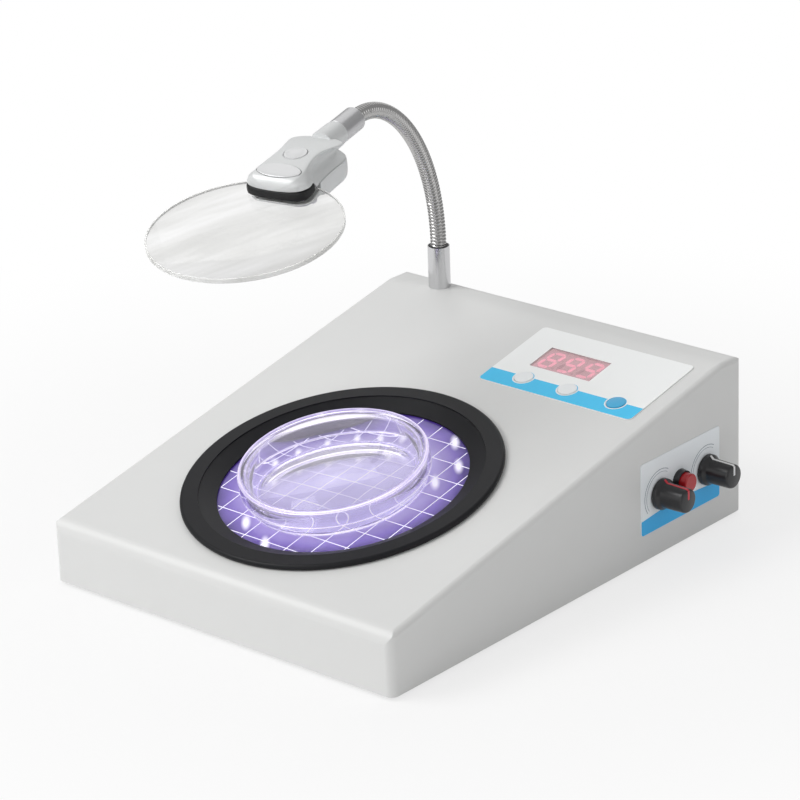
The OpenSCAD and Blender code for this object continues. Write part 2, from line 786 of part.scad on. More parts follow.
// Main board and the connections at the back
module at_main() {
    translate([main_x, main_y, 0]) children();
}
module at_main_posts() {
    at_main() for (x = [-1, 1], y = [-1, 1])
        translate([x * (main_w / 2 - board_margin), y * (main_l / 2 - board_margin), 0]) children();
}
module main_board() {
    color("seagreen") difference() {
        at_main() translate([0, 0, main_z]) plate(main_w, main_l, pcb_t);
        at_main_posts() translate([0, 0, main_z - cut]) cylinder(d = screw_hole_d, h = pcb_t + 2 * cut);
    }
    color("silver") at_main_posts() translate([0, 0, main_z + pcb_t]) nut(5.5, screw_d, 2.4);
}
module board_parts() {
    top = main_z + pcb_t;
    at_main() translate([0, 0, top]) {
        color("#303034") {
            translate([-8, 4, 0]) plate(18, 10, 2.6);
            translate([-6, -14, 0]) plate(10, 4, 1.8);
            translate([24, 22, 0]) plate(10, 8, 9);
        }
        color("royalblue") translate([24, -20, 0]) cylinder(d = 10, h = 16);
        color("ivory") {
            for (y = [-14, 0, 14]) translate([-30, y, 0]) plate(6, 10, 6);
            translate([4, 26, 0]) plate(12, 6, 6);
        }
    }
}
module buzzer() {
    color("#202022") at_main() translate([buzzer_x, buzzer_y, main_z + pcb_t]) difference() {
        cylinder(d = buzzer_d, h = buzzer_h);
        translate([0, 0, buzzer_h - 2]) cylinder(d = 2.4, h = 2 + cut);
    }
}
module power_inlet() {
    color("#202022") on_back(inlet_x, inlet_z) difference() {
        union() {
            cylinder(d = inlet_d + 3, h = inlet_rim_h);
            translate([0, 0, -sheet - inlet_len]) cylinder(d = inlet_d, h = sheet + inlet_len + near);
        }
        translate([0, 0, -inlet_bore_len]) cylinder(d = inlet_bore_d, h = inlet_bore_len + inlet_rim_h + cut);
    }
    color("silver") on_back(inlet_x, inlet_z) translate([0, 0, -inlet_bore_len - near])
        cylinder(d = inlet_pin_d, h = inlet_bore_len);
}
module switch_frame() {
    color("#202022") on_back(switch_x, switch_z) difference() {
        union() {
            plate(switch_w, switch_l, 2);
            translate([0, 0, -sheet - 11]) plate(switch_w - 2 - near, switch_l - 2 - near, sheet + 11 + near);
            for (x = [-5, 5]) translate([x, 0, -sheet - 17]) plate(0.8, 5, 6 + near);
        }
        translate([0, 0, -sheet - 4]) plate(rocker_w + 2 * slip, rocker_l + 2 * slip, sheet + 8);
        rotate([0, 90, 0]) cylinder(d = rocker_pin_d + 2 * bore_play, h = switch_w - 3.4, center = true);
    }
}
// A rocker turns about a pin across its middle; its face is a shallow vee
module switch_rocker() {
    color("#2a2a2c") on_back(switch_x, switch_z) {
        intersection() {
            rotate([0, 90, 0]) linear_extrude(rocker_w, center = true) difference() {
                circle(r = rocker_l / 2 - near);
                translate([-rocker_l / 2 - 3.2, 0]) rotate(8) square([rocker_l, rocker_l], center = true);
                translate([-rocker_l / 2 - 3.2, 0]) rotate(-8) square([rocker_l, rocker_l], center = true);
            }
            translate([0, 0, -3.6]) plate(rocker_w, rocker_l, 9);
        }
        rotate([0, 90, 0]) cylinder(d = rocker_pin_d, h = switch_w - 4, center = true);
    }
}

// Gooseneck
// The ball that ends one link turns in the cup that starts the next
module ball_end(stem) {
    sphere(r = ball_r);
    translate([0, 0, -stem]) cylinder(r = stem_r, h = stem);
}
module cup_cut() {
    sphere(r = cup_r);
    translate([0, 0, -cup_out_r - cut]) cylinder(r = cup_out_r + cut, h = cup_out_r + cut - cup_drop);
}
module neck_socket() {
    color("silver") in_neck() {
        difference() {
            union() {
                cylinder(d = socket_d, h = socket_h);
                translate([0, 0, -stub_len]) cylinder(d = stub_d, h = stub_len + near);
            }
            translate([0, 0, -stub_len - cut]) cylinder(d = 5, h = stub_len + socket_h - socket_bore - 2);
            translate([0, 0, socket_h - socket_bore]) cylinder(d = socket_d - 2.4, h = socket_bore + cut);
        }
        translate([0, 0, first_joint]) ball_end(first_joint - socket_h + socket_bore + near);
    }
}
// One link of the neck: a cup, a core wound with turns of round wire, and a ball
module neck_link(i) {
    step = (link_len - 2 * coil_end) / (turns - 1);
    color("silver") in_link(i, link_tilt(i)) {
        difference() {
            rotate_extrude() {
                intersection() {
                    circle(r = cup_out_r);
                    translate([0, -cup_drop]) square([cup_out_r, cup_drop + cup_out_r]);
                }
                translate([0, coil_end - wire_r + near])
                    square([core_r, link_len - core_end - coil_end + wire_r - near]);
                for (k = [0:turns - 1]) translate([coil_r, coil_end + k * step]) circle(r = wire_r, $fn = 32);
            }
            cup_cut();
        }
        translate([0, 0, link_len]) ball_end(core_end + 1);
    }
}
module link_1() {
    neck_link(0);
}
module link_2() {
    neck_link(1);
}
module link_3() {
    neck_link(2);
}
module link_4() {
    neck_link(3);
}
module link_5() {
    neck_link(4);
}
module link_6() {
    neck_link(5);
}
module link_7() {
    neck_link(6);
}
module link_8() {
    neck_link(7);
}
module sleeve() {
    color("silver") in_sleeve() difference() {
        union() {
            intersection() {
                sphere(r = cup_out_r);
                translate([0, 0, -cup_drop]) cylinder(r = cup_out_r, h = 2 * cup_out_r);
            }
            translate([0, 0, sleeve_start]) cylinder(d = sleeve_d, h = sleeve_len);
            translate([0, 0, collar_start]) cylinder(d1 = sleeve_d, d2 = sleeve_d + 0.8, h = collar_len);
            translate([0, 0, collar_start]) cylinder(d = spigot_d, h = collar_len + spigot_len);
        }
        cup_cut();
        translate([0, 0, sleeve_len / 3]) rotate([90, 0, 0]) cylinder(d = screw_d, h = sleeve_d);
    }
}
module sleeve_screw() {
    color("dimgray") in_sleeve() translate([0, 0, sleeve_len / 3]) rotate([90, 0, 0]) difference() {
        translate([0, 0, sleeve_d / 2 - 3.4]) cylinder(d = screw_d, h = 3);
        translate([0, 0, sleeve_d / 2 - 1.6]) linear_extrude(2) hexagon(1.5);
    }
}

// Magnifier head
module lens_form() {
    z = lens_ball_r - lens_rise - lens_edge / 2;
    half_t = lens_rise + lens_edge / 2;
    rotate_extrude($fn = 128) intersection() {
        translate([0, -half_t]) square([lens_r, 2 * half_t]);
        translate([0, -z]) circle(r = lens_ball_r, $fn = 720);
        translate([0, z]) circle(r = lens_ball_r, $fn = 720);
    }
}
module lens() {
    color("azure", 0.4) in_head() lens_form();
}
// Plan of the head: a broad front, a waist and a round back; grow widens it all round
module head_plan(grow = 0) {
    w = head_front_w + grow;
    rear_c = head_back - head_rear_r;
    front_r = 2.6 * w;
    intersection() {
        translate([-w, jaw_front - grow]) square([2 * w, jaw_back - jaw_front + 2 * grow]);
        translate([0, jaw_front - grow + front_r]) circle(r = front_r, $fn = 128);
    }
    polygon([
        [-w, jaw_back], [w, jaw_back], [head_waist + grow, jaw_back + 12], [head_rear_r + grow, rear_c],
        [-head_rear_r - grow, rear_c], [-head_waist - grow, jaw_back + 12]
    ]);
    translate([0, rear_c]) circle(r = head_rear_r + grow);
}
// Side outline of the head's top: a bevel over the jaw, a level pad and a falling back
module head_side() {
    polygon([
        [jaw_front - 1, jaw_top], [jaw_front + 1.5, head_top - 2.5], [jaw_front + 5, head_top - 1],
        [button_v, head_top], [button_v + 14, head_top - 1.4], [head_back - 4, head_top - 4.5],
        [head_back, head_top - 7.5], [head_back, -10], [jaw_front - 1, -10]
    ]);
}
// Front outline of the head: a rounded edge along each side of the top, which meets the flanks at an angle
module head_front() {
    w = head_front_w + 0.6;
    r = head_edge_r;
    translate([-w, -head_top]) square([2 * w, 2 * head_top - r]);
    translate([r - w, 0]) square([2 * (w - r), head_top + near]);
    for (x = [r - w, w - r]) translate([x, head_top + near - r]) circle(r = r);
}
module head_block(z0, z1) {
    intersection() {
        translate([0, 0, z0]) linear_extrude(z1 - z0) head_plan();
        rotate([90, 0, 90]) linear_extrude(4 * head_front_w, center = true) head_side();
        rotate([90, 0, 0]) linear_extrude(4 * head_back, center = true) head_front();
    }
}
module at_head_button(h) {
    in_head() translate([0, button_v, h]) children();
}
module head_upper() {
    color("gainsboro") {
        difference() {
            in_head() head_block(head_split, head_top + 2);
            in_head() lens_form();
            in_head() translate([-2 * head_front_w, jaw_front - cut, -cut])
                cube([4 * head_front_w, jaw_back - jaw_front + cut, jaw_top + cut]);
            at_head_button(head_top - button_sunk - head_button_travel - 2 * slip)
                cylinder(d = head_button_d + 2 * slip, h = 8);
            at_head_button(head_split) cylinder(d = button_stem_d + 2 * slip, h = head_top);
            in_head() translate([0, head_board_v, head_split - cut])
                plate(head_board_w + 1, head_board_l + 1, 6 + cut);
            in_sleeve() translate([0, 0, collar_start]) cylinder(d = sleeve_d + 1, h = collar_len + near);
            in_sleeve() cylinder(d = spigot_d, h = collar_start + collar_len + spigot_len + near);
        }
    }
}
module head_lower() {
    color("silver") difference() {
        in_head() intersection() {
            translate([0, 0, head_split - head_belly]) linear_extrude(head_belly) head_plan();
            rotate([90, 0, 90]) linear_extrude(4 * head_front_w, center = true) head_belly_side();
        }
        in_head() lens_form();
        in_head() translate([0, cell_v, head_split - cell_room]) plate(cell_d + 2, cell_d + 1, cell_room + cut);
        in_head() translate([0, cell_v, head_split - head_belly - cut]) plate(door_w, door_l, door_t + cut);
        in_head() translate([0, cell_v, head_split - head_belly]) plate(cell_d + 1, cell_d + 1, 2 * cell_t);
        in_sleeve() translate([0, 0, collar_start]) cylinder(d = sleeve_d + 1, h = collar_len + near);
        in_sleeve() cylinder(d = spigot_d, h = collar_start + collar_len + spigot_len + near);
        at_head_lamps(-10) cylinder(d = head_lamp_d + near, h = 20);
    }
}
// Side outline of the lower shell: a thin lip under the lens and a deep belly behind it
module head_belly_side() {
    polygon([
        [jaw_front + 3, -4.6], [jaw_front + 3, 0], [jaw_back, 0], [jaw_back, head_split],
        [head_back, head_split], [head_back, -5], [head_back - 4, head_split - head_belly],
        [lens_r + 2, head_split - head_belly], [lens_r + 0.5, -6]
    ]);
}
module head_door() {
    color("silver") in_head() translate([0, cell_v, head_split - head_belly])
        plate(door_w - near, door_l - near, door_t);
}
module head_cells() {
    color("silver") in_head() for (k = [0, 1])
        translate([0, cell_v, head_split - head_belly + door_t + k * (cell_t + near / 2)])
            cylinder(d = cell_d, h = cell_t);
}
module head_board() {
    color("seagreen") in_head() translate([0, head_board_v, head_split]) plate(head_board_w, head_board_l, 1);
    color("#303034") at_head_button(head_split + 1) {
        plate(tact_w, tact_w, tact_h);
        cylinder(d = tact_pin_d, h = head_switch_h);
    }
}
module head_button() {
    // The stem stops one travel above the switch, so a press closes it
    stem_bottom = head_split + 1 + head_switch_h + head_button_travel + near;
    color("whitesmoke") {
        at_head_button(head_top - button_sunk) cylinder(d = head_button_d, h = button_sunk + 1);
        at_head_button(stem_bottom) cylinder(d = button_stem_d, h = 3);
    }
}
module at_head_lamps(h) {
    for (x = [-1, 1]) in_head() translate([x * 10, jaw_back + 4, h]) children();
}
module head_lamps() {
    color("lightyellow") at_head_lamps(-8) {
        cylinder(d = head_lamp_d, h = 5);
        sphere(d = head_lamp_d);
    }
}
// Rubber jaw that lines the slot above the lens and shows as a dark band round the front
module head_jaw() {
    color("#202022") in_head() difference() {
        intersection() {
            linear_extrude(jaw_top - near) head_plan(0.4);
            translate([0, jaw_back - 9 - near, 0]) plate(4 * head_front_w, 18, 4 * jaw_top);
        }
        lens_form();
    }
}

casing();
base_plate();
screws();
feet();
bezel();
stage_plate();
stage_rim();
light_chamber();
lamp_board();
lamps();
stage_cushions();
press_switch();
dish_base();
dish_lid();
panel_foil();
display_window();
display_module();
display_board();
board_posts();
key_switches();
key_left();
key_middle();
key_right();
side_label();
control_left();
control_right();
panel_nuts();
shaft_left();
shaft_right();
knob_left();
knob_right();
button_body();
button_cap();
main_board();
board_parts();
buzzer();
power_inlet();
switch_frame();
switch_rocker();
neck_socket();
link_1();
link_2();
link_3();
link_4();
link_5();
link_6();
link_7();
link_8();
sleeve();
sleeve_screw();
head_upper();
head_lower();
head_door();
head_cells();
head_board();
head_button();
head_lamps();
head_jaw();
lens();
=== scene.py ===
import math
import bpy
import bmesh
from mathutils import Matrix, Vector


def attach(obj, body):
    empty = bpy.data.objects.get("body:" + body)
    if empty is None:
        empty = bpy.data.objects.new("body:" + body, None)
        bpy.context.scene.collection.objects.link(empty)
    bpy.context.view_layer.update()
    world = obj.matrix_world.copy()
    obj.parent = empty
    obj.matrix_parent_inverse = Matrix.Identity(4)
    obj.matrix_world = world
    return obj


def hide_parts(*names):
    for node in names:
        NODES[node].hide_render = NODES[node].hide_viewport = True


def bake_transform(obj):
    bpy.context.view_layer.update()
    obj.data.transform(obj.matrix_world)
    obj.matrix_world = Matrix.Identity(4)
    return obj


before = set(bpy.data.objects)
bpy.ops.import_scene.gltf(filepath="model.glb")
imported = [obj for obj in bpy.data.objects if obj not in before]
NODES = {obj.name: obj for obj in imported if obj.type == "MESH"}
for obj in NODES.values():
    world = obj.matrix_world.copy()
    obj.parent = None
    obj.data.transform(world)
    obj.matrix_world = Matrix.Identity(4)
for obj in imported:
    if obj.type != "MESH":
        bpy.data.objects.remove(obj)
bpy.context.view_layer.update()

MM = 0.001
COLL = bpy.context.scene.collection


# ---------------------------------------------------------------- frames
CASE_W, CASE_D = 220.0, 271.5
FRONT_H, BACK_H, BAND_D = 33.2, 85.4, 17.2
FRONT_Y, BACK_Y, WALL_X = -CASE_D / 2, CASE_D / 2, CASE_W / 2
SLOPE = math.atan((BACK_H - FRONT_H) / (CASE_D - BAND_D))


def shift(x, y, z):
    return Matrix.Translation(Vector((x, y, z)) * MM)


def turn(deg, axis):
    return Matrix.Rotation(math.radians(deg), 4, axis)


def on_slope(s, x=0.0, h=0.0):
    """On the sloping face: X across it, Y up it from the front edge, Z out of it."""
    return shift(0, FRONT_Y, FRONT_H) @ Matrix.Rotation(SLOPE, 4, "X") @ shift(x, s, h)


NECK_X, NECK_BACK, NECK_YAW = 79.0, 11.0, 12.0
LINKS, NECK_LEN, SWEEP, HOOK = 8, 137.6, 77.0, 20.0
LINK = NECK_LEN / LINKS
SOCKET_H, FIRST_JOINT = 22.8, 23.3
HEAD_PITCH, HEAD_REACH, HEAD_RISE = 10.8, 112.5, 4.0
IN_NECK = shift(-NECK_X, BACK_Y - NECK_BACK, BACK_H) @ turn(NECK_YAW, "Z")


def neck_tilt(t):
    """Lean of the neck's centreline at a share t of its length: an even sweep with a hook at its end."""
    return math.radians(SWEEP * t + HOOK * t ** 6)


# Each joint's place in the neck's own plane: (towards the user, up)
JOINTS = [(0.0, FIRST_JOINT)]
for i in range(LINKS):
    u, w = JOINTS[-1]
    tilt = neck_tilt((i + 0.5) / LINKS)
    JOINTS.append((u + LINK * math.sin(tilt), w + LINK * math.cos(tilt)))
NECK_END = IN_NECK @ shift(0, -JOINTS[-1][0], JOINTS[-1][1])
# At the lens centre: X across the head, Y towards the neck, Z up through the lens
IN_HEAD = NECK_END @ turn(HEAD_PITCH, "X") @ shift(0, -HEAD_REACH, -HEAD_RISE)


# ---------------------------------------------------------------- materials
def new_material(name):
    m = bpy.data.materials.new(name)
    m.use_nodes = True
    nt = m.node_tree
    return m, nt, nt.nodes["Principled BSDF"]


def math_node(nt, op, a, b=None, c=None, clamp=False):
    n = nt.nodes.new("ShaderNodeMath")
    n.operation = op
    n.use_clamp = clamp
    for i, v in enumerate((a, b, c)):
        if v is None:
            continue
        if isinstance(v, (int, float)):
            n.inputs[i].default_value = v
        else:
            nt.links.new(v, n.inputs[i])
    return n.outputs[0]


def coords(nt, scale=(1, 1, 1)):
    tc = nt.nodes.new("ShaderNodeTexCoord")
    mp = nt.nodes.new("ShaderNodeMapping")
    mp.inputs["Scale"].default_value = scale
    nt.links.new(tc.outputs["Object"], mp.inputs["Vector"])
    return mp.outputs["Vector"]


def noise(nt, vec, scale, detail=3.0, rough=0.5):
    n = nt.nodes.new("ShaderNodeTexNoise")
    n.inputs["Scale"].default_value = scale
    n.inputs["Detail"].default_value = detail
    n.inputs["Roughness"].default_value = rough
    nt.links.new(vec, n.inputs["Vector"])
    return n.outputs["Fac"]


def ramp(nt, fac, stops):
    r = nt.nodes.new("ShaderNodeValToRGB")
    while len(r.color_ramp.elements) < len(stops):
        r.color_ramp.elements.new(0.5)
    for e, (p, c) in zip(r.color_ramp.elements, stops):
        e.position = p
        e.color = (*c, 1)
    nt.links.new(fac, r.inputs["Fac"])
    return r.outputs["Color"]


def mix_color(nt, fac, a, b):
    n = nt.nodes.new("ShaderNodeMix")
    n.data_type = "RGBA"
    for sock, v in ((n.inputs["Factor"], fac), (n.inputs["A"], a), (n.inputs["B"], b)):
        if isinstance(v, (int, float)):
            sock.default_value = v
        elif isinstance(v, tuple):
            sock.default_value = (*v, 1) if len(v) == 3 else v
        else:
            nt.links.new(v, sock)
    return n.outputs["Result"]


def bump(nt, bsdf, height, strength, distance):
    b = nt.nodes.new("ShaderNodeBump")
    b.inputs["Strength"].default_value = strength
    b.inputs["Distance"].default_value = distance
    nt.links.new(height, b.inputs["Height"])
    nt.links.new(b.outputs["Normal"], bsdf.inputs["Normal"])


def surface(name, color, rough, metal=0.0, grain=900.0, vary=0.03, bump_mm=0.01, rough_vary=0.06, coat=0.0,
            coat_rough=0.1, spec=0.5, stretch=(1, 1, 1)):
    """A plain finish: fine grain in the colour, roughness and bump."""
    m, nt, b = new_material(name)
    vec = coords(nt, stretch)
    fine = noise(nt, vec, grain, 4.0)
    broad = noise(nt, vec, grain / 30.0, 2.0)
    both = math_node(nt, "MULTIPLY_ADD", fine, 0.5, math_node(nt, "MULTIPLY", broad, 0.5))
    lo = tuple(max(0.0, c * (1 - vary)) for c in color)
    hi = tuple(min(1.0, c * (1 + vary)) for c in color)
    nt.links.new(ramp(nt, both, [(0.3, lo), (0.7, hi)]), b.inputs["Base Color"])
    r = math_node(nt, "MULTIPLY_ADD", both, rough_vary * 2, rough - rough_vary, clamp=True)
    nt.links.new(r, b.inputs["Roughness"])
    b.inputs["Metallic"].default_value = metal
    b.inputs["Specular IOR Level"].default_value = spec
    b.inputs["Coat Weight"].default_value = coat
    b.inputs["Coat Roughness"].default_value = coat_rough
    if bump_mm:
        bump(nt, b, fine, 0.5, bump_mm * MM)
    return m


def clear(name, color, rough, ior, glow=None, strength=0.0, grain=400.0):
    """Clear glass or plastic with a faint unevenness, and with a painted glow where it carries light from the
    lamps.
    """
    m, nt, b = new_material(name)
    vec = coords(nt)
    n = noise(nt, vec, grain, 2.0)
    nt.links.new(math_node(nt, "MULTIPLY_ADD", n, rough, rough / 2), b.inputs["Roughness"])
    b.inputs["Base Color"].default_value = (*color, 1)
    b.inputs["Transmission Weight"].default_value = 1.0
    b.inputs["IOR"].default_value = ior
    if glow:
        b.inputs["Emission Color"].default_value = (*glow, 1)
        b.inputs["Emission Strength"].default_value = strength
    return m


def glowing(name, color, emit, strength, rough=0.4, grain=300.0, vary=0.06):
    """A lit print or segment."""
    m, nt, b = new_material(name)
    vec = coords(nt)
    n = noise(nt, vec, grain, 2.0)
    lo = tuple(c * (1 - vary) for c in color)
    hi = tuple(min(1, c * (1 + vary)) for c in color)
    nt.links.new(ramp(nt, n, [(0.35, lo), (0.65, hi)]), b.inputs["Base Color"])
    b.inputs["Roughness"].default_value = rough
    b.inputs["Emission Color"].default_value = (*emit, 1)
    b.inputs["Emission Strength"].default_value = strength
    return m


PAINT = surface("paint_white", (0.735, 0.738, 0.730), 0.42, grain=1800, vary=0.008, bump_mm=0.012,
                rough_vary=0.04)
BLACK_GLOSS = surface("black_satin", (0.011, 0.011, 0.013), 0.42, grain=1400, vary=0.12, spec=0.2)
BLACK_MATTE = surface("black_matte", (0.02, 0.02, 0.022), 0.5, grain=1600, vary=0.15, bump_mm=0.015)
KNOB_BLACK = surface("knob_black", (0.016, 0.016, 0.018), 0.3, grain=1500, vary=0.12, bump_mm=0.008,
                     coat=0.2, coat_rough=0.25)
RUBBER = surface("rubber_black", (0.012, 0.012, 0.013), 0.55, grain=2200, vary=0.2, bump_mm=0.02, spec=0.4)
CHROME = surface("chrome", (0.68, 0.68, 0.69), 0.15, metal=1.0, grain=700, bump_mm=0.0, rough_vary=0.03)
COIL = surface("coil_wire", (0.50, 0.495, 0.49), 0.16, metal=1.0, vary=0.06, bump_mm=0.004, rough_vary=0.05)
STEEL = surface("zinc_steel", (0.55, 0.56, 0.57), 0.38, metal=1.0, grain=500, vary=0.08, bump_mm=0.008,
                stretch=(1, 8, 1))
SILVER = surface("silver_paint", (0.78, 0.792, 0.792), 0.58, metal=0.55, grain=2600, bump_mm=0.006,
                 coat=0.1, coat_rough=0.4)
SILVER_PALE = surface("silver_pale", (0.78, 0.785, 0.79), 0.40, metal=0.3, grain=2600, bump_mm=0.006,
                      coat=0.12, coat_rough=0.3)
TUBE = surface("sleeve_satin", (0.60, 0.60, 0.61), 0.32, metal=0.85, grain=1500, bump_mm=0.003,
               rough_vary=0.04)
RED = surface("red_gloss", (0.46, 0.008, 0.014), 0.3, grain=1200, vary=0.08, bump_mm=0.006, coat=0.3)
WHITE_KEY = surface("white_key", (0.88, 0.90, 0.91), 0.3, grain=1200, vary=0.015, bump_mm=0.006)
BLUE_KEY = surface("blue_key", (0.05, 0.42, 0.72), 0.3, grain=1200, bump_mm=0.006)
FOIL = surface("foil_white", (0.945, 0.96, 0.955), 0.34, grain=1500, vary=0.012, bump_mm=0.005)
FOIL_BLUE = surface("foil_blue", (0.03, 0.58, 0.95), 0.34, grain=1500, vary=0.02, bump_mm=0.004)
LABEL = surface("label_grey", (0.90, 0.94, 0.97), 0.4, grain=1500, vary=0.015, bump_mm=0.006)
LABEL_BLUE = surface("label_blue", (0.03, 0.47, 0.93), 0.38, grain=1500, bump_mm=0.004)
INK_GREY = surface("ink_grey", (0.28, 0.33, 0.38), 0.45, grain=1500, vary=0.05, bump_mm=0.0)
BOARD = surface("board_green", (0.02, 0.16, 0.07), 0.4, grain=800, vary=0.15)
PALE_BOARD = surface("board_white", (0.75, 0.75, 0.78), 0.4, grain=800)
SILICONE = surface("silicone_grey", (0.12, 0.12, 0.13), 0.6, grain=1500, vary=0.1)
GREY_FACE = surface("display_face", (0.62, 0.47, 0.49), 0.45, vary=0.04, bump_mm=0.004)

for node, m in {
    "casing": PAINT, "base_plate": STEEL, "screws": STEEL, "feet": RUBBER, "bezel": BLACK_GLOSS,
    "stage_rim": BLACK_MATTE, "light_chamber": BLACK_MATTE, "lamp_board": PALE_BOARD, "lamps": PALE_BOARD,
    "stage_cushions": SILICONE, "press_switch": BLACK_MATTE, "panel_foil": FOIL, "display_module": GREY_FACE,
    "display_board": BOARD, "board_posts": STEEL, "key_switches": BLACK_MATTE, "key_left": WHITE_KEY,
    "key_middle": WHITE_KEY, "key_right": BLUE_KEY, "side_label": LABEL, "control_left": STEEL,
    "control_right": STEEL, "panel_nuts": STEEL, "shaft_left": STEEL, "shaft_right": STEEL,
    "knob_left": KNOB_BLACK, "knob_right": KNOB_BLACK, "button_body": KNOB_BLACK, "button_cap": RED,
    "main_board": BOARD, "board_parts": BLACK_MATTE, "buzzer": BLACK_MATTE, "power_inlet": BLACK_MATTE,
    "switch_frame": BLACK_MATTE, "switch_rocker": KNOB_BLACK, "neck_socket": CHROME, "sleeve": CHROME,
    "sleeve_screw": BLACK_MATTE, "head_upper": SILVER, "head_lower": SILVER, "head_door": SILVER,
    "head_cells": STEEL, "head_board": BOARD, "head_button": SILVER_PALE, "head_lamps": PALE_BOARD,
    "head_jaw": RUBBER,
}.items():
    NODES[node].data.materials.clear()
    NODES[node].data.materials.append(m)


# ---------------------------------------------------------------- mesh helpers
def finish_mesh(name, bm, matrix, material, body, smooth=True, angle=40.0):
    """Turns a bmesh in millimetres into a piece that rides on a body."""
    bmesh.ops.recalc_face_normals(bm, faces=bm.faces)
    bmesh.ops.transform(bm, matrix=matrix @ Matrix.Scale(MM, 4), verts=bm.verts)
    me = bpy.data.meshes.new(name)
    bm.to_mesh(me)
    bm.free()
    if smooth:
        me.shade_smooth()
        if angle:
            me.set_sharp_from_angle(angle=math.radians(angle))
    ob = bpy.data.objects.new(name, me)
    COLL.objects.link(ob)
    me.materials.append(material)
    if body:
        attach(ob, body)
    return ob


def skin(bm, rows):
    """Faces round and between rows of points that all have the same count, with a cap on each end."""
    made = [[bm.verts.new(p) for p in row] for row in rows]
    n = len(made[0])
    for a, b in zip(made, made[1:]):
        for k in range(n):
            bm.faces.new((a[k], a[(k + 1) % n], b[(k + 1) % n], b[k]))
    bm.faces.new(made[0][::-1])
    bm.faces.new(made[-1])


def revolve(name, profile, matrix, material, body, steps=160, angle=40.0, closed=True):
    """Turns an (r, z) outline round Z: closed, it gives a ring; open, it starts and ends on the axis."""
    bm = bmesh.new()
    turns = [2 * math.pi * k / steps for k in range(steps)]
    rows = []
    for r, z in profile:
        if r < 1e-6:
            rows.append([bm.verts.new((0, 0, z))])
        else:
            rows.append([bm.verts.new((r * math.cos(a), r * math.sin(a), z)) for a in turns])
    for a, b in zip(rows, rows[1:] + rows[:1] if closed else rows[1:]):
        for k in range(steps):
            k2 = (k + 1) % steps
            if len(a) == 1:
                bm.faces.new((a[0], b[k], b[k2]))
            elif len(b) == 1:
                bm.faces.new((a[k], a[k2], b[0]))
            else:
                bm.faces.new((a[k], a[k2], b[k2], b[k]))
    return finish_mesh(name, bm, matrix, material, body, angle=angle)


def round_rect(x0, y0, x1, y1, r, steps=6):
    pts = []
    for cx, cy, a0 in ((x1 - r, y1 - r, 0), (x0 + r, y1 - r, 90), (x0 + r, y0 + r, 180),
                       (x1 - r, y0 + r, 270)):
        for k in range(steps + 1):
            a = math.radians(a0 + 90 * k / steps)
            pts.append((cx + r * math.cos(a), cy + r * math.sin(a)))
    return pts


def circle(cx, cy, r, steps=48):
    turns = [2 * math.pi * k / steps for k in range(steps)]
    return [(cx + r * math.cos(a), cy + r * math.sin(a)) for a in turns]


def boxes(name, items, matrix, material, body):
    """Many small slabs in one piece: each item is (outline, z0, z1)."""
    bm = bmesh.new()
    for outline, z0, z1 in items:
        skin(bm, [[(x, y, z) for x, y in outline] for z in (z0, z1)])
    return finish_mesh(name, bm, matrix, material, body, smooth=False)


# ---------------------------------------------------------------- stage
STAGE_S, DISH_S = 94.0, 90.0
APERTURE_R = 62.8
PLATE_TOP, PLATE_T, PLATE_BEVEL, PLATE_IN, PLATE_R = -2.0, 3, 0.15, 64.8, 64.95
PITCH, GRID_LINES, GRID_HALF_W, GRID_T, GRID_MARGIN = 13.5, 5, 0.26, 0.03, 0.4

# Where lamps are mirrored in the plate, as (across the slope, up the slope); each is a soft oval
LAMP_IMAGES = [(-31.7, 73.3), (-27.2, 89.1), (-17.3, 102.4), (-4.2, 113.5), (10.9, 121.8), (-50.5, 92),
               (-47.5, 108.6), (-39.2, 125.2), (-25.6, 136.6), (-10.9, 140.8), (2.5, 144.5), (44.3, 129.9),
               (42.9, 113.3), (1.0, 34.5), (-20.4, 44.5), (28.6, 146.3)]
IMAGE_TURN, IMAGE_HALF_W, IMAGE_HALF_L = math.radians(41.6), 3.0, 9.0


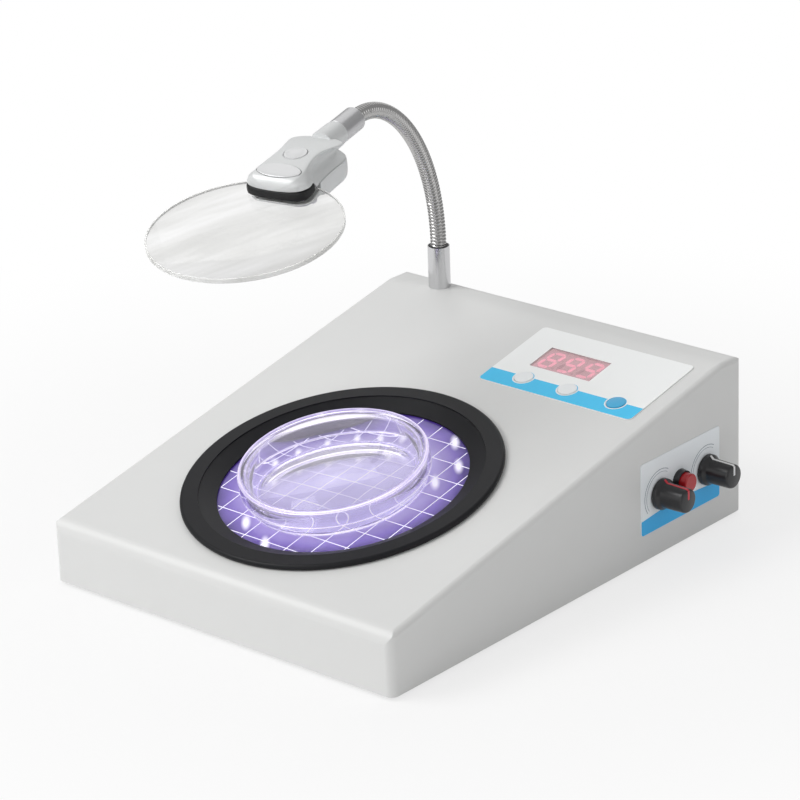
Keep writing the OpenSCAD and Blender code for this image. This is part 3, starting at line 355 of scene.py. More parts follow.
def stage_material():
    """Violet light under the plate: lavender in the middle, deep violet at the edge, and soft lamp images."""
    m, nt, b = new_material("stage_glow")
    inv = on_slope(STAGE_S).inverted()
    tc = nt.nodes.new("ShaderNodeTexCoord")
    mp = nt.nodes.new("ShaderNodeMapping")
    mp.vector_type = "POINT"
    loc, rot, _ = inv.decompose()
    mp.inputs["Location"].default_value = loc
    mp.inputs["Rotation"].default_value = rot.to_euler()
    nt.links.new(tc.outputs["Object"], mp.inputs["Vector"])
    sep = nt.nodes.new("ShaderNodeSeparateXYZ")
    nt.links.new(mp.outputs["Vector"], sep.inputs["Vector"])
    x = math_node(nt, "MULTIPLY", sep.outputs["X"], 1 / MM)
    y = math_node(nt, "MULTIPLY", sep.outputs["Y"], 1 / MM)
    r = math_node(nt, "SQRT", math_node(nt, "ADD", math_node(nt, "MULTIPLY", x, x),
                                        math_node(nt, "MULTIPLY", y, y)))
    cloud = noise(nt, mp.outputs["Vector"], 45.0, 3.0)
    edge = math_node(nt, "DIVIDE", math_node(nt, "MULTIPLY_ADD", cloud, 10.0,
                                             math_node(nt, "SUBTRACT", r, 5.0)), APERTURE_R)
    base = ramp(nt, edge, [(0.0, (0.52, 0.48, 0.72)), (0.55, (0.46, 0.41, 0.68)), (0.74, (0.31, 0.25, 0.55)),
                           (0.90, (0.13, 0.08, 0.36)), (1.0, (0.04, 0.018, 0.16))])
    ca, sa = math.cos(IMAGE_TURN), math.sin(IMAGE_TURN)
    across = math_node(nt, "ADD", math_node(nt, "MULTIPLY", x, ca), math_node(nt, "MULTIPLY", y, sa))
    along = math_node(nt, "SUBTRACT", math_node(nt, "MULTIPLY", y, ca), math_node(nt, "MULTIPLY", x, sa))
    glow = None
    for sx, ss in LAMP_IMAGES:
        sy = ss - STAGE_S
        da = math_node(nt, "MULTIPLY_ADD", across, 1 / IMAGE_HALF_W, -(sx * ca + sy * sa) / IMAGE_HALF_W)
        dl = math_node(nt, "MULTIPLY_ADD", along, 1 / IMAGE_HALF_L, -(sy * ca - sx * sa) / IMAGE_HALF_L)
        d = math_node(nt, "ADD", math_node(nt, "MULTIPLY", da, da), math_node(nt, "MULTIPLY", dl, dl))
        g = math_node(nt, "SUBTRACT", 1.0, d, clamp=True)
        glow = g if glow is None else math_node(nt, "MAXIMUM", glow, g)
    col = mix_color(nt, math_node(nt, "MULTIPLY", glow, glow), base, (0.90, 0.87, 0.98))
    nt.links.new(col, b.inputs["Base Color"])
    nt.links.new(col, b.inputs["Emission Color"])
    b.inputs["Emission Strength"].default_value = 0.5
    b.inputs["Roughness"].default_value = 0.25
    b.inputs["Coat Weight"].default_value = 0.4
    b.inputs["Coat Roughness"].default_value = 0.03
    return m


STAGE_GLOW = stage_material()
GRID_WHITE = glowing("grid_lines", (0.80, 0.77, 0.92), (0.84, 0.80, 0.97), 0.45)

PLATE_FOOT = PLATE_TOP - PLATE_T
plate = revolve("stage_glass", [(0, PLATE_FOOT), (PLATE_IN, PLATE_FOOT), (PLATE_R, PLATE_FOOT + PLATE_BEVEL),
                                (PLATE_R, PLATE_TOP - PLATE_BEVEL), (PLATE_IN, PLATE_TOP), (0, PLATE_TOP)],
                on_slope(STAGE_S), STAGE_GLOW, "stage", closed=False)
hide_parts("stage_plate")


def grid():
    """The printed lines, centred under the dish and cut off at the aperture."""
    items = []
    half_w = GRID_HALF_W
    z0, z1 = PLATE_TOP, PLATE_TOP + GRID_T
    reach = APERTURE_R - GRID_MARGIN
    shift_s = DISH_S - STAGE_S
    for k in range(-GRID_LINES, GRID_LINES + 1):
        x = k * PITCH
        if abs(x) < reach:
            e = math.sqrt(reach ** 2 - x ** 2)
            line = [(x - half_w, -e), (x + half_w, -e), (x + half_w, e), (x - half_w, e)]
            items.append((line, z0, z1))
        y = k * PITCH + shift_s
        if abs(y) < reach:
            e = math.sqrt(reach ** 2 - y ** 2)
            line = [(-e, y - half_w), (e, y - half_w), (e, y + half_w), (-e, y + half_w)]
            items.append((line, z0, z1 + 0.002))
    return items


boxes("grid_lines", grid(), on_slope(STAGE_S), GRID_WHITE, "stage")

# ---------------------------------------------------------------- dish
# Painted glow: light from the lamps under the plate, piped through the dish's plastic, is given as emission,
# faint over the whole dish and stronger on the edge rings below
DISH_CLEAR = clear("dish_clear", (0.96, 0.955, 0.99), rough=0.014, ior=1.42, glow=(0.88, 0.83, 1.0),
                   strength=0.022)
DISH_EDGE_GLOW = clear("dish_edge", (0.93, 0.90, 0.98), rough=0.2, ior=1.2, glow=(0.86, 0.80, 1.0), strength=0.13)
WALL = 1.3
BASE_R, BASE_H, LID_R, SKIRT = 45.0, 14.0, 47.5, 8.0
ON_PLATE = on_slope(DISH_S, 0, PLATE_TOP)
dish = revolve("dish_base_clear", [
    (0, 0.3), (41.5, 0.3), (42.0, 0), (44.2, 0), (BASE_R - 0.3, 0.4), (BASE_R, 1.0),
    (BASE_R, BASE_H - 0.4), (BASE_R - 0.3, BASE_H), (BASE_R - WALL + 0.3, BASE_H),
    (BASE_R - WALL, BASE_H - 0.4), (BASE_R - WALL, 2.0), (BASE_R - WALL - 0.6, 1.4), (0, 1.4)
], ON_PLATE, DISH_CLEAR, "dish", closed=False)
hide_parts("dish_base")
LID_Z = BASE_H + 0.1
lid = revolve("dish_lid_clear", [
    (0, LID_Z), (LID_R - WALL - 0.5, LID_Z), (LID_R - WALL, LID_Z - 0.5),
    (LID_R - WALL, LID_Z - SKIRT + 0.3), (LID_R - WALL + 0.3, LID_Z - SKIRT),
    (LID_R - 0.3, LID_Z - SKIRT), (LID_R, LID_Z - SKIRT + 0.3), (LID_R, LID_Z + WALL - 0.7),
    (LID_R - 0.6, LID_Z + WALL), (LID_R - 2.2, LID_Z + WALL),
    (LID_R - 2.6, LID_Z + WALL - 0.3), (0, LID_Z + WALL - 0.3)
], ON_PLATE, DISH_CLEAR, "lid", closed=False)
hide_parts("dish_lid")


def torus(name, r, z, tube, matrix, material, body):
    revolve(name, circle(r, z, tube, 8), matrix, material, body, angle=0)


# Glowing rings laid over the lid's and the dish's rims: painted glow where light from the lamps comes out at
# the plastic's edges
torus("lid_top_edge_glow", LID_R - 1.05, LID_Z + WALL - 0.8, 0.75, ON_PLATE, DISH_EDGE_GLOW, "lid")
torus("lid_skirt_edge_glow", LID_R - 0.65, LID_Z - SKIRT + 0.6, 0.5, ON_PLATE, DISH_EDGE_GLOW, "lid")
torus("dish_foot_edge_glow", BASE_R - 0.85, 0.85, 0.6, ON_PLATE, DISH_EDGE_GLOW, "dish")

# ---------------------------------------------------------------- gooseneck
COIL_R, WIRE_R, COIL_PITCH, COIL_SIDES = 4.3, 0.98, 1.96, 24
# How far the coil runs on into the socket and the sleeve, and how far each joint's bend reaches
COIL_IN, COIL_OUT, BLEND_REACH = 2.0, 2.6, 7.5
CURVE_STEP, SEAM = 0.245, 0.13


def neck_curve():
    """Centreline samples (distance, u, w, tilt), drawn back onto the joints at both ends."""
    n = round(NECK_LEN / CURVE_STEP)
    step = NECK_LEN / n
    pts = [(0.0, 0.0, FIRST_JOINT)]
    for k in range(n):
        a = neck_tilt((k + 0.5) / n)
        s, u, w = pts[-1]
        pts.append((s + step, u + step * math.sin(a), w + step * math.cos(a)))
    du, dw = JOINTS[-1][0] - pts[-1][1], JOINTS[-1][1] - pts[-1][2]
    out = []
    for s, u, w in pts:
        t = s / NECK_LEN
        out.append((s, u + du * t, w + dw * t, neck_tilt(t)))
    start = [(-COIL_IN + step * k, 0.0, FIRST_JOINT - COIL_IN + step * k, 0.0)
             for k in range(int(COIL_IN / step))]
    a = neck_tilt(1.0)
    u1, w1 = JOINTS[-1]
    end = [(NECK_LEN + step * k, u1 + step * k * math.sin(a), w1 + step * k * math.cos(a), a)
           for k in range(1, int(COIL_OUT / step))]
    return start + out + end


CURVE = neck_curve()


def coil_piece(index):
    """The stretch of coil round one joint: it runs from the middle of one link to the middle of the next."""
    s0 = -COIL_IN - 1 if index == 0 else (index - 0.5) * LINK
    s1 = NECK_LEN + 10 if index == LINKS else (index + 0.5) * LINK
    rows = []
    around = COIL_SIDES
    picked = [p for p in CURVE if s0 - SEAM <= p[0] <= s1 + SEAM]
    for s, u, w, a in picked:
        row = []
        for k in range(around):
            ang = 2 * math.pi * k / around
            f = (s / COIL_PITCH - k / around) % 1.0
            r = COIL_R - WIRE_R + WIRE_R * math.sqrt(max(0.0, 1 - (2 * f - 1) ** 2)) * 0.9 + 0.1 * WIRE_R
            side, out = r * math.cos(ang), r * math.sin(ang)
            row.append((side, -(u + out * math.cos(a)), w - out * math.sin(a)))
        rows.append(row)
    bm = bmesh.new()
    skin(bm, rows)
    ob = finish_mesh("coil_%d" % index, bm, IN_NECK, COIL, None, angle=60)
    u, w = JOINTS[index]
    a = neck_tilt(index / LINKS)
    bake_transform(ob)
    if index < LINKS:
        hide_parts("link_%d" % (index + 1))


for i in range(LINKS + 1):
    coil_piece(i)

revolve("socket_ring", [(2.6, SOCKET_H - 0.1), (5.3, SOCKET_H - 0.1), (5.5, SOCKET_H + 0.05),
                        (5.3, SOCKET_H + 0.2), (2.6, SOCKET_H + 0.2)],
        IN_NECK, BLACK_MATTE, "case", steps=64)

# ---------------------------------------------------------------- panel
PANEL_X, PANEL_W, PANEL_S, PANEL_T = 3.2, 96.1, 197.0, 0.6
PRINT_T, BAND_TOP, RING_TOP = 0.05, PANEL_T + 0.05, PANEL_T + 0.12
WINDOW_X, WINDOW_S = PANEL_X + 35.9, PANEL_S + 30.4
KEY_X = [PANEL_X + 21.8, PANEL_X + 49.7, PANEL_X + 80.2]
KEY_S, KEY_HOLE_R, KEY_RING_R = PANEL_S + 10.1, 5.35, 6.0
PANEL = on_slope(0)


def band_outline():
    """The blue band along the panel's lower edge, with round lower corners."""
    x0, x1 = PANEL_X + 0.02, PANEL_X + PANEL_W - 0.02
    s0, s1, r = PANEL_S + 0.02, PANEL_S + 11.3, 2.5
    pts = []
    for cx, a0 in ((x0 + r, 180), (x1 - r, 270)):
        for k in range(7):
            a = math.radians(a0 + 90 * k / 6)
            pts.append((cx + r * math.cos(a), s0 + r + r * math.sin(a)))
    pts += [(x1, s1), (x0, s1)]
    return pts


def holed_band(name, outline, holes, z0, z1, matrix, material, body):
    """A flat band with round holes, cut by triangulating the outline round them."""
    bm = bmesh.new()
    edges = []
    for loop in [outline] + holes:
        vs = [bm.verts.new((x, y, z1)) for x, y in loop]
        edges += [bm.edges.new((vs[k], vs[(k + 1) % len(vs)])) for k in range(len(vs))]
    bmesh.ops.triangle_fill(bm, use_beauty=True, edges=edges)
    ext = bmesh.ops.extrude_face_region(bm, geom=list(bm.faces))
    for v in [g for g in ext["geom"] if isinstance(g, bmesh.types.BMVert)]:
        v.co.z = z0
    return finish_mesh(name, bm, matrix, material, body, smooth=False)


key_holes = [circle(x, KEY_S, KEY_HOLE_R, 40) for x in KEY_X]
holed_band("panel_band", band_outline(), key_holes, PANEL_T, BAND_TOP, PANEL, FOIL_BLUE, "case")
for k, x in enumerate(KEY_X):
    revolve("key_ring_%d" % k, [(KEY_HOLE_R, BAND_TOP), (KEY_RING_R, BAND_TOP), (KEY_RING_R, RING_TOP),
                                (KEY_HOLE_R, RING_TOP)],
            on_slope(KEY_S, x), FOIL, "case", steps=64)

WINDOW_TINT = clear("window_tint", (0.93, 0.80, 0.82), rough=0.12, ior=1.3)
NODES["display_window"].data.materials.clear()
NODES["display_window"].data.materials.append(WINDOW_TINT)
DIGIT_LIT = glowing("digit_lit", (0.66, 0.33, 0.39), (0.64, 0.39, 0.47), 0.5)
DIGIT_DARK = surface("digit_dark", (0.50, 0.37, 0.39), 0.5, bump_mm=0.0)

SEGMENTS = {"a": ((0, 2), (1, 2)), "b": ((1, 2), (1, 1)), "c": ((1, 1), (1, 0)), "d": ((0, 0), (1, 0)),
            "e": ((0, 1), (0, 0)), "f": ((0, 2), (0, 1)), "g": ((0, 1), (1, 1))}
DIGITS = ["abcdefg", "abcdfg", "abcdfg"]


def segment(p, q, w):
    """A six-sided segment between two points of a digit."""
    d = Vector((q[0] - p[0], q[1] - p[1]))
    n = d.normalized()
    side = Vector((-n.y, n.x)) * w / 2
    a = Vector(p) + n * 0.35
    b = Vector(q) - n * 0.35
    pts = [a, a + n * w / 2 + side, b - n * w / 2 + side, b, b - n * w / 2 - side, a + n * w / 2 - side]
    return [(v.x, v.y) for v in pts]


def digits():
    """The lit and the unlit segments and points of three digits."""
    lit, dark = [], []
    dw, dh, pitch, lean, stroke = 7.1, 6.5, 12.4, math.tan(math.radians(8)), 2.1
    for k, shown in enumerate(DIGITS):
        cx = WINDOW_X + (k - 1) * pitch - dw / 2 + 0.2
        for name, (p, q) in SEGMENTS.items():
            pts = [(cx + c[0] * dw + (c[1] - 1) * dh * lean, WINDOW_S + (c[1] - 1) * dh) for c in (p, q)]
            shape = (segment(pts[0], pts[1], stroke), -0.4, -0.32)
            (lit if name in shown else dark).append(shape)
        dot = circle(cx + dw + 1.9, WINDOW_S - dh, 0.75, 16)
        dark.append((dot, -0.4, -0.34))
    return lit, dark


lit, dark = digits()
boxes("digits_lit", lit, PANEL, DIGIT_LIT, "case")
boxes("digits_unlit", dark, PANEL, DIGIT_DARK, "case")

# ---------------------------------------------------------------- side label
LABEL_Y, LABEL_W, LABEL_Z, LABEL_H, LABEL_T = 187.2, 64.6, 15.6, 38.1, 0.4
KNOB_Z, KNOB_HOLE_R = 33.8, 3.55
RED_Y, RED_Z, RED_HOLE_R = LABEL_Y + 31.4, KNOB_Z + 1.6, 5.05
WAVE_Z, WAVE_RISE = 23.4, 1.9
KNOB_Y = [LABEL_Y + 15.6, LABEL_Y + 53.6]
SIDE = shift(WALL_X, FRONT_Y, 0) @ turn(90, "Z") @ turn(90, "X")


def wave_outline():
    """The blue band along the label's lower edge: its upper edge swells in one long wave."""
    y0, y1, z0, r = LABEL_Y + 0.03, LABEL_Y + LABEL_W - 0.03, LABEL_Z + 0.03, 1.5
    pts = []
    for cy, a0 in ((y0 + r, 180), (y1 - r, 270)):
        for k in range(6):
            a = math.radians(a0 + 90 * k / 5)
            pts.append((cy + r * math.cos(a), z0 + r + r * math.sin(a)))
    n = 24
    for k in range(n + 1):
        t = 1 - k / n
        top = WAVE_Z + WAVE_RISE * math.sin(math.pi * min(1, t * 1.05)) + 0.5 * t
        pts.append((y0 + (y1 - y0) * t, top))
    return pts


label_holes = [circle(y, KNOB_Z, KNOB_HOLE_R, 48) for y in KNOB_Y]
label_holes.append(circle(RED_Y, RED_Z, RED_HOLE_R, 48))
face = holed_band("label_face", round_rect(LABEL_Y, LABEL_Z, LABEL_Y + LABEL_W, LABEL_Z + LABEL_H, 1.5),
                  label_holes, 0, LABEL_T, SIDE, LABEL, "case")
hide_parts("side_label")
boxes("label_band", [(wave_outline(), LABEL_T, LABEL_T + PRINT_T)], SIDE, LABEL_BLUE, "case")


def arc_strip(cy, cz, r, w, a0, a1, steps=48):
    outer, inner = [], []
    for k in range(steps + 1):
        a = math.radians(a0 + (a1 - a0) * k / steps)
        outer.append((cy + (r + w / 2) * math.cos(a), cz + (r + w / 2) * math.sin(a)))
        inner.append((cy + (r - w / 2) * math.cos(a), cz + (r - w / 2) * math.sin(a)))
    return outer, inner


def arcs():
    """Two thin printed arcs round each knob."""
    bm = bmesh.new()
    for cy in KNOB_Y:
        for r, w in ((12.8, 0.35), (11.3, 0.25)):
            outer, inner = arc_strip(cy, KNOB_Z, r, w, 60, 215)
            layers = []
            for z in (LABEL_T, LABEL_T + 0.04):
                layers.append(([bm.verts.new((*p, z)) for p in outer],
                               [bm.verts.new((*p, z)) for p in inner]))
            (o0, i0), (o1, i1) = layers
            n = len(outer)
            for k in range(n - 1):
                bm.faces.new((o1[k], o1[k + 1], i1[k + 1], i1[k]))
                bm.faces.new((o0[k], i0[k], i0[k + 1], o0[k + 1]))
                bm.faces.new((o0[k], o0[k + 1], o1[k + 1], o1[k]))
                bm.faces.new((i0[k], i1[k], i1[k + 1], i0[k + 1]))
            for k in (0, n - 1):
                bm.faces.new((o0[k], o1[k], i1[k], i0[k]))
    return finish_mesh("label_arcs", bm, SIDE, INK_GREY, "case", smooth=False)


arcs()

KNOB_GAP, KNOB_R, SKIRT_H, FACE_H, POINTER_W = 0.3, 8.0, 3.4, 16.96, 0.68
BUSH_R, BUSH_H = 4.0, 6.0
POINTER_RED = surface("pointer_red", (0.62, 0.03, 0.05), 0.4, vary=0.05, bump_mm=0.0)
POINTER_WHITE = surface("pointer_white", (0.80, 0.80, 0.80), 0.4, bump_mm=0.0)


def in_knob(y):
    """At a knob's foot: X along the wall, Y up, Z out of the wall."""
    foot = shift(WALL_X, FRONT_Y + y, KNOB_Z) @ turn(90, "Z") @ turn(90, "X")
    return foot @ shift(0, 0, LABEL_T + KNOB_GAP)


def knob_form(name, y, body, node):
    """A skirted knob, hollow under its skirt so that it clears the nut and the bush."""
    hollow = [(0, BUSH_H), (BUSH_R, BUSH_H), (BUSH_R, SKIRT_H - 1), (KNOB_R - 1.2, SKIRT_H - 1),
              (KNOB_R - 1.2, 0)]
    skirt = [(KNOB_R - 0.2, 0), (KNOB_R, 0.2), (KNOB_R, SKIRT_H - 1.2), (KNOB_R - 0.2, SKIRT_H - 0.85),
             (6.55, SKIRT_H + 0.45)]
    crown = [(6.4, SKIRT_H + 0.8), (6.2, FACE_H - 1.2), (6.05, FACE_H - 0.7), (5.75, FACE_H - 0.25),
             (5.3, FACE_H), (0, FACE_H)]
    knob = revolve(name, hollow + skirt + crown, in_knob(y), KNOB_BLACK, body, steps=96, angle=35,
                   closed=False)
    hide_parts(node)


def pointer(name, y, material, body):
    """The line along a knob's top and down its face, one strip with a bend at the edge."""
    outer = [(8.02, 2.5), (6.5, 4.1), (6.28, FACE_H - 1.0), (6.03, FACE_H - 0.55), (5.42, FACE_H + 0.03),
             (0.8, FACE_H + 0.03)]
    inner = [(7.7, 2.5), (6.1, 4.2), (5.95, FACE_H - 1.1), (5.8, FACE_H - 0.75), (5.3, FACE_H - 0.2),
             (0.8, FACE_H - 0.2)]
    bm = bmesh.new()
    rows = []
    for (r1, h1), (r0, h0) in zip(outer, inner):
        corners = ((-POINTER_W, r0, h0), (-POINTER_W, r1, h1), (POINTER_W, r1, h1), (POINTER_W, r0, h0))
        rows.append([bm.verts.new(p) for p in corners])
    for a, b in zip(rows, rows[1:]):
        for k in range(4):
            bm.faces.new((a[k], a[(k + 1) % 4], b[(k + 1) % 4], b[k]))
    bm.faces.new(rows[0])
    bm.faces.new(rows[-1])
    finish_mesh(name, bm, in_knob(y), material, body, smooth=False)


knob_form("knob_left_form", KNOB_Y[0], "left_knob", "knob_left")
knob_form("knob_right_form", KNOB_Y[1], "right_knob", "knob_right")
pointer("pointer_left", KNOB_Y[0], POINTER_RED, "left_knob")
pointer("pointer_right", KNOB_Y[1], POINTER_WHITE, "right_knob")

# ---------------------------------------------------------------- magnifier
LENS_R, LENS_EDGE, LENS_RISE, LENS_SOFT = 48.5, 2.5, 2.5, 0.25
LENS_CLEAR = clear("lens_clear", (0.80, 0.80, 0.79), rough=0.004, ior=1.2)


def lens_painted_reflection(m):
    """Painted reflection: faint pale bands across the lens, as a window's reflection would lie on it."""
    nt = m.node_tree
    tc = nt.nodes.new("ShaderNodeTexCoord")
    mp = nt.nodes.new("ShaderNodeMapping")
    mp.vector_type = "TEXTURE"
    mp.inputs["Rotation"].default_value = (0, 0, math.radians(66))
    mp.inputs["Scale"].default_value = (1.0, 0.2, 1.0)
    nt.links.new(tc.outputs["Object"], mp.inputs["Vector"])
    vec = mp.outputs["Vector"]
    reflection_bands = noise(nt, vec, 14.0, 2.0)
    col = ramp(nt, reflection_bands, [(0.36, (0.72, 0.72, 0.71)), (0.5, (0.81, 0.81, 0.80)), (0.62, (0.93, 0.93, 0.93))])
    nt.links.new(col, nt.nodes["Principled BSDF"].inputs["Base Color"])


# The lens's base colour carries a painted reflection of a window
lens_painted_reflection(LENS_CLEAR)


def lens_height(r):
    """Height of the lens's domed face over its middle plane at a radius."""
    ball = (LENS_R ** 2 + LENS_RISE ** 2) / (2 * LENS_RISE)
    return LENS_EDGE / 2 + LENS_RISE - (ball - math.sqrt(ball ** 2 - r ** 2))


def lens_profile():
    top = []
    n = 24
    for k in range(n + 1):
        r = LENS_R * k / n
        r = min(r, LENS_R - LENS_SOFT)
        top.append((r, lens_height(r)))
    edge = LENS_EDGE / 2 - LENS_SOFT
    return [(r, -z) for r, z in top] + [(LENS_R, -edge), (LENS_R, edge)] + top[::-1]


lens = revolve("lens_clear", lens_profile(), IN_HEAD, LENS_CLEAR, "head", steps=192, angle=30,
               closed=False)
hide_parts("lens")
LENS_RIM = surface("lens_rim", (0.86, 0.86, 0.85), 0.25, vary=0.02, bump_mm=0.0)
RIM_H = LENS_EDGE / 2 - 0.2
revolve("lens_rim", [(LENS_R - 0.7, -RIM_H), (LENS_R - 0.02, -RIM_H), (LENS_R - 0.02, RIM_H),
                     (LENS_R - 0.7, RIM_H)],
        IN_HEAD, LENS_RIM, "head", steps=192, angle=30)


def curve_at(table, v):
    """Smooth value between the stations of a table of (v, value), by a cubic that runs through them."""
    n = len(table)
    if v <= table[0][0]:
        return table[0][1]
    if v >= table[-1][0]:
        return table[-1][1]
    k = max(i for i in range(n - 1) if table[i][0] <= v)
    (x0, y0), (x1, y1) = table[k], table[k + 1]
    slopes = []
    for j in (k, k + 1):
        a, b = table[max(j - 1, 0)], table[min(j + 1, n - 1)]
        slopes.append((b[1] - a[1]) / (b[0] - a[0]))
    h = x1 - x0
    t = (v - x0) / h
    return (y0 * (2 * t ** 3 - 3 * t ** 2 + 1) + slopes[0] * h * (t ** 3 - 2 * t ** 2 + t)
            + y1 * (3 * t ** 2 - 2 * t ** 3) + slopes[1] * h * (t ** 3 - t ** 2))


def loft(name, rows, matrix, material, levels):
    """A closed skin through rows of points that all have the same count."""
    bm = bmesh.new()
    skin(bm, rows)
    ob = finish_mesh(name, bm, matrix, material, None, angle=0)
    sub = ob.modifiers.new("smooth", "SUBSURF")
    sub.levels = sub.render_levels = levels
    return ob


def apply_modifiers(ob, angle=30.0):
    bpy.context.view_layer.update()
    me = bpy.data.meshes.new_from_object(ob.evaluated_get(bpy.context.evaluated_depsgraph_get()))
    ob.modifiers.clear()
    ob.data = me
    me.shade_smooth()
    me.set_sharp_from_angle(angle=math.radians(angle))


def cut_with(ob, cutter):
    """Takes one mesh out of another and removes the cutter."""
    mod = ob.modifiers.new("cut", "BOOLEAN")
    mod.operation = "DIFFERENCE"
    mod.solver = "EXACT"
    mod.object = cutter
    apply_modifiers(ob)
    bpy.data.objects.remove(cutter)


JAW_FRONT, NOSE, NOSE_POWER = 27.5, 6.0, 2.5
NOSE_W, NOSE_LOWER_W, NOSE_UPPER_W = 16.5, 16.2, 15.3


def nose_width(v):
    """Half width of the head's blunt front at a distance v from the lens centre."""
    t = (JAW_FRONT + NOSE - v) / NOSE
    return NOSE_W * (1 - max(0.0, min(1.0, t)) ** NOSE_POWER) ** (1 / NOSE_POWER)


# Stations of the cover along the head, as (distance from the lens centre, height or half width)
TOP_H = [(27.5, 7.4), (28.2, 9.9), (29.2, 11.8), (30.5, 12.9), (32.5, 13.4), (37, 13.7), (45, 14.1),
         (53, 14.4), (60, 14.0), (66, 13.0), (71, 11.9), (75, 10.9), (78.5, 9.9), (80.6, 9.2), (81.4, 8.6)]
TOP_W = [(27.5, 0.6), (28.2, 7.6), (29.2, 10.3), (30.5, 12.0), (32.5, 13.0), (37, 13.2), (41, 12.8),
         (45, 12.1), (50, 11.3), (55, 11.0), (60, 11.5), (66, 13.0), (71, 14.3), (75, 14.4), (78.5, 12.4),
         (80.6, 8.4), (81.4, 5.0)]
# Below the edge: a bevel over the jaw in front, a scooped flank under the hood behind
UPPER_FLANK_W = [(27.5, 0.8), (33, 15.2), (38, 15.0), (42, 13.9), (46, 11.9), (52, 10.0), (60, 9.5),
                 (68, 9.8), (74, 10.0), (78.5, 8.6), (81.4, 4.2)]
UPPER_FLANK_H = [(27.5, 7.2), (28.2, 8.9), (30, 10.2), (33, 10.7), (45, 10.4), (56, 10.3), (66, 9.2),
                 (72, 8.4), (78.5, 7.4), (81.4, 6.9)]
LOWER_FLANK_W = [(27.5, 0.8), (33, 16.3), (38, 16.2), (42, 15.2), (46, 13.1), (52, 10.9), (60, 10.2),
                 (68, 9.9), (74, 9.3), (78.5, 7.8), (81.4, 4.0)]
LOWER_FLANK_H = [(27.5, 7.1), (28.2, 7.9), (33, 8.1), (41, 7.8), (44, 6.6), (56, 6.0), (72, 5.2), (81.4, 4.8)]
PART_W = [(27.5, 0.9), (33, 16.5), (40, 16.5), (43, 16.0), (48, 14.8), (56, 14.5), (66, 14.9), (72, 15.3),
          (76, 14.6), (79, 12.0), (80.6, 9.0), (81.4, 6.0)]
PART_H = [(27.5, 7.05), (40.6, 7.05), (42.4, 4.2), (44, 2.5), (60, 2.5), (72, 2.1), (81.4, 1.9)]


def upper_rows():
    rows = []
    stations = [27.5, 27.8, 28.3, 29.0, 29.9, 31.0, 32.4, 34.2, 36.5, 39, 40.6, 42.4, 44, 46, 49, 52, 56,
                60, 64, 68, 71.5, 74.5, 77, 79, 80.5, 81.4]
    for v in stations:
        front = nose_width(v) / NOSE_W if v < JAW_FRONT + NOSE else 1.0
        top, tw = curve_at(TOP_H, v), curve_at(TOP_W, v)
        uw, uh = curve_at(UPPER_FLANK_W, v), curve_at(UPPER_FLANK_H, v)
        lw, lh = curve_at(LOWER_FLANK_W, v), curve_at(LOWER_FLANK_H, v)
        pw, ph = curve_at(PART_W, v), curve_at(PART_H, v)
        if front < 1:
            uw, lw, pw = NOSE_UPPER_W * front, NOSE_LOWER_W * front, NOSE_W * front
            tw = max(0.5, min(tw, uw - 0.3))
        drop = min(0.5, (top - uh) * 0.25)
        half = [(0.0, top), (tw * 0.45, top - drop * 0.15), (tw * 0.8, top - drop * 0.5),
                (tw * 0.965, top - drop * 1.1), (tw, top - drop * 2.2),
                (uw, uh), ((uw + lw) / 2, (uh + lh) / 2), (lw, lh), ((lw + pw) / 2 + 0.2, (lh + ph) / 2),
                (pw, ph + 0.35 * min(1, (lh - ph))), (pw - 0.25, ph)]
        base = [(x * 0.5 if i else 0.0, ph) for i, x in enumerate((0.0, pw))][::-1]
        ring = half + base
        left = [(-x, h) for x, h in half[1:]] + [(-base[0][0], ph)]
        pts = ring + left[::-1]
        rows.append([(x, v, h) for x, h in pts])
    return rows


upper = loft("head_cover", upper_rows(), IN_HEAD, SILVER, levels=2)
apply_modifiers(upper, angle=28)

BUTTON_V, BUTTON_R, BUTTON_TOP, BUTTON_FLOOR = 53.5, 6.0, 15.3, 9.4
PAD_V, PAD_X, PAD_Y, PAD_GAP = 36.7, 12.1, 5.8, 0.3
PAD_FLOOR, PAD_BASE, PAD_TOP, WELL_TOP = 12.4, 12.3, 14.2, 20


def plain_cylinder(name, r, z0, z1, matrix):
    return revolve(name, [(0, z0), (r, z0), (r, z1), (0, z1)], matrix, SILVER, None, steps=64, closed=False,
                   angle=30)


cut_with(upper, plain_cylinder("well", BUTTON_R + 0.3, BUTTON_FLOOR, WELL_TOP,
                               IN_HEAD @ shift(0, BUTTON_V, 0)))
squash = Matrix.Diagonal((1, (PAD_Y + PAD_GAP) / (PAD_X + PAD_GAP), 1, 1))
cut_with(upper, plain_cylinder("pad_well", PAD_X + PAD_GAP, PAD_FLOOR, WELL_TOP,
                               IN_HEAD @ shift(0, PAD_V, 0) @ squash))
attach(upper, "head")
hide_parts("head_upper")

button = revolve("lamp_button_cap", [(0, 10.4), (5.6, 10.4), (5.95, 10.7), (5.95, BUTTON_TOP - 1.1),
                                     (5.75, BUTTON_TOP - 0.75), (5.3, BUTTON_TOP - 0.6),
                                     (4.95, BUTTON_TOP - 0.68), (4.7, BUTTON_TOP - 0.62),
                                     (3.6, BUTTON_TOP - 0.25), (1.8, BUTTON_TOP - 0.05), (0, BUTTON_TOP)],
                 IN_HEAD @ shift(0, BUTTON_V, 0), SILVER_PALE, "lamp_button", steps=72,
                 angle=35, closed=False)
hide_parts("head_button")


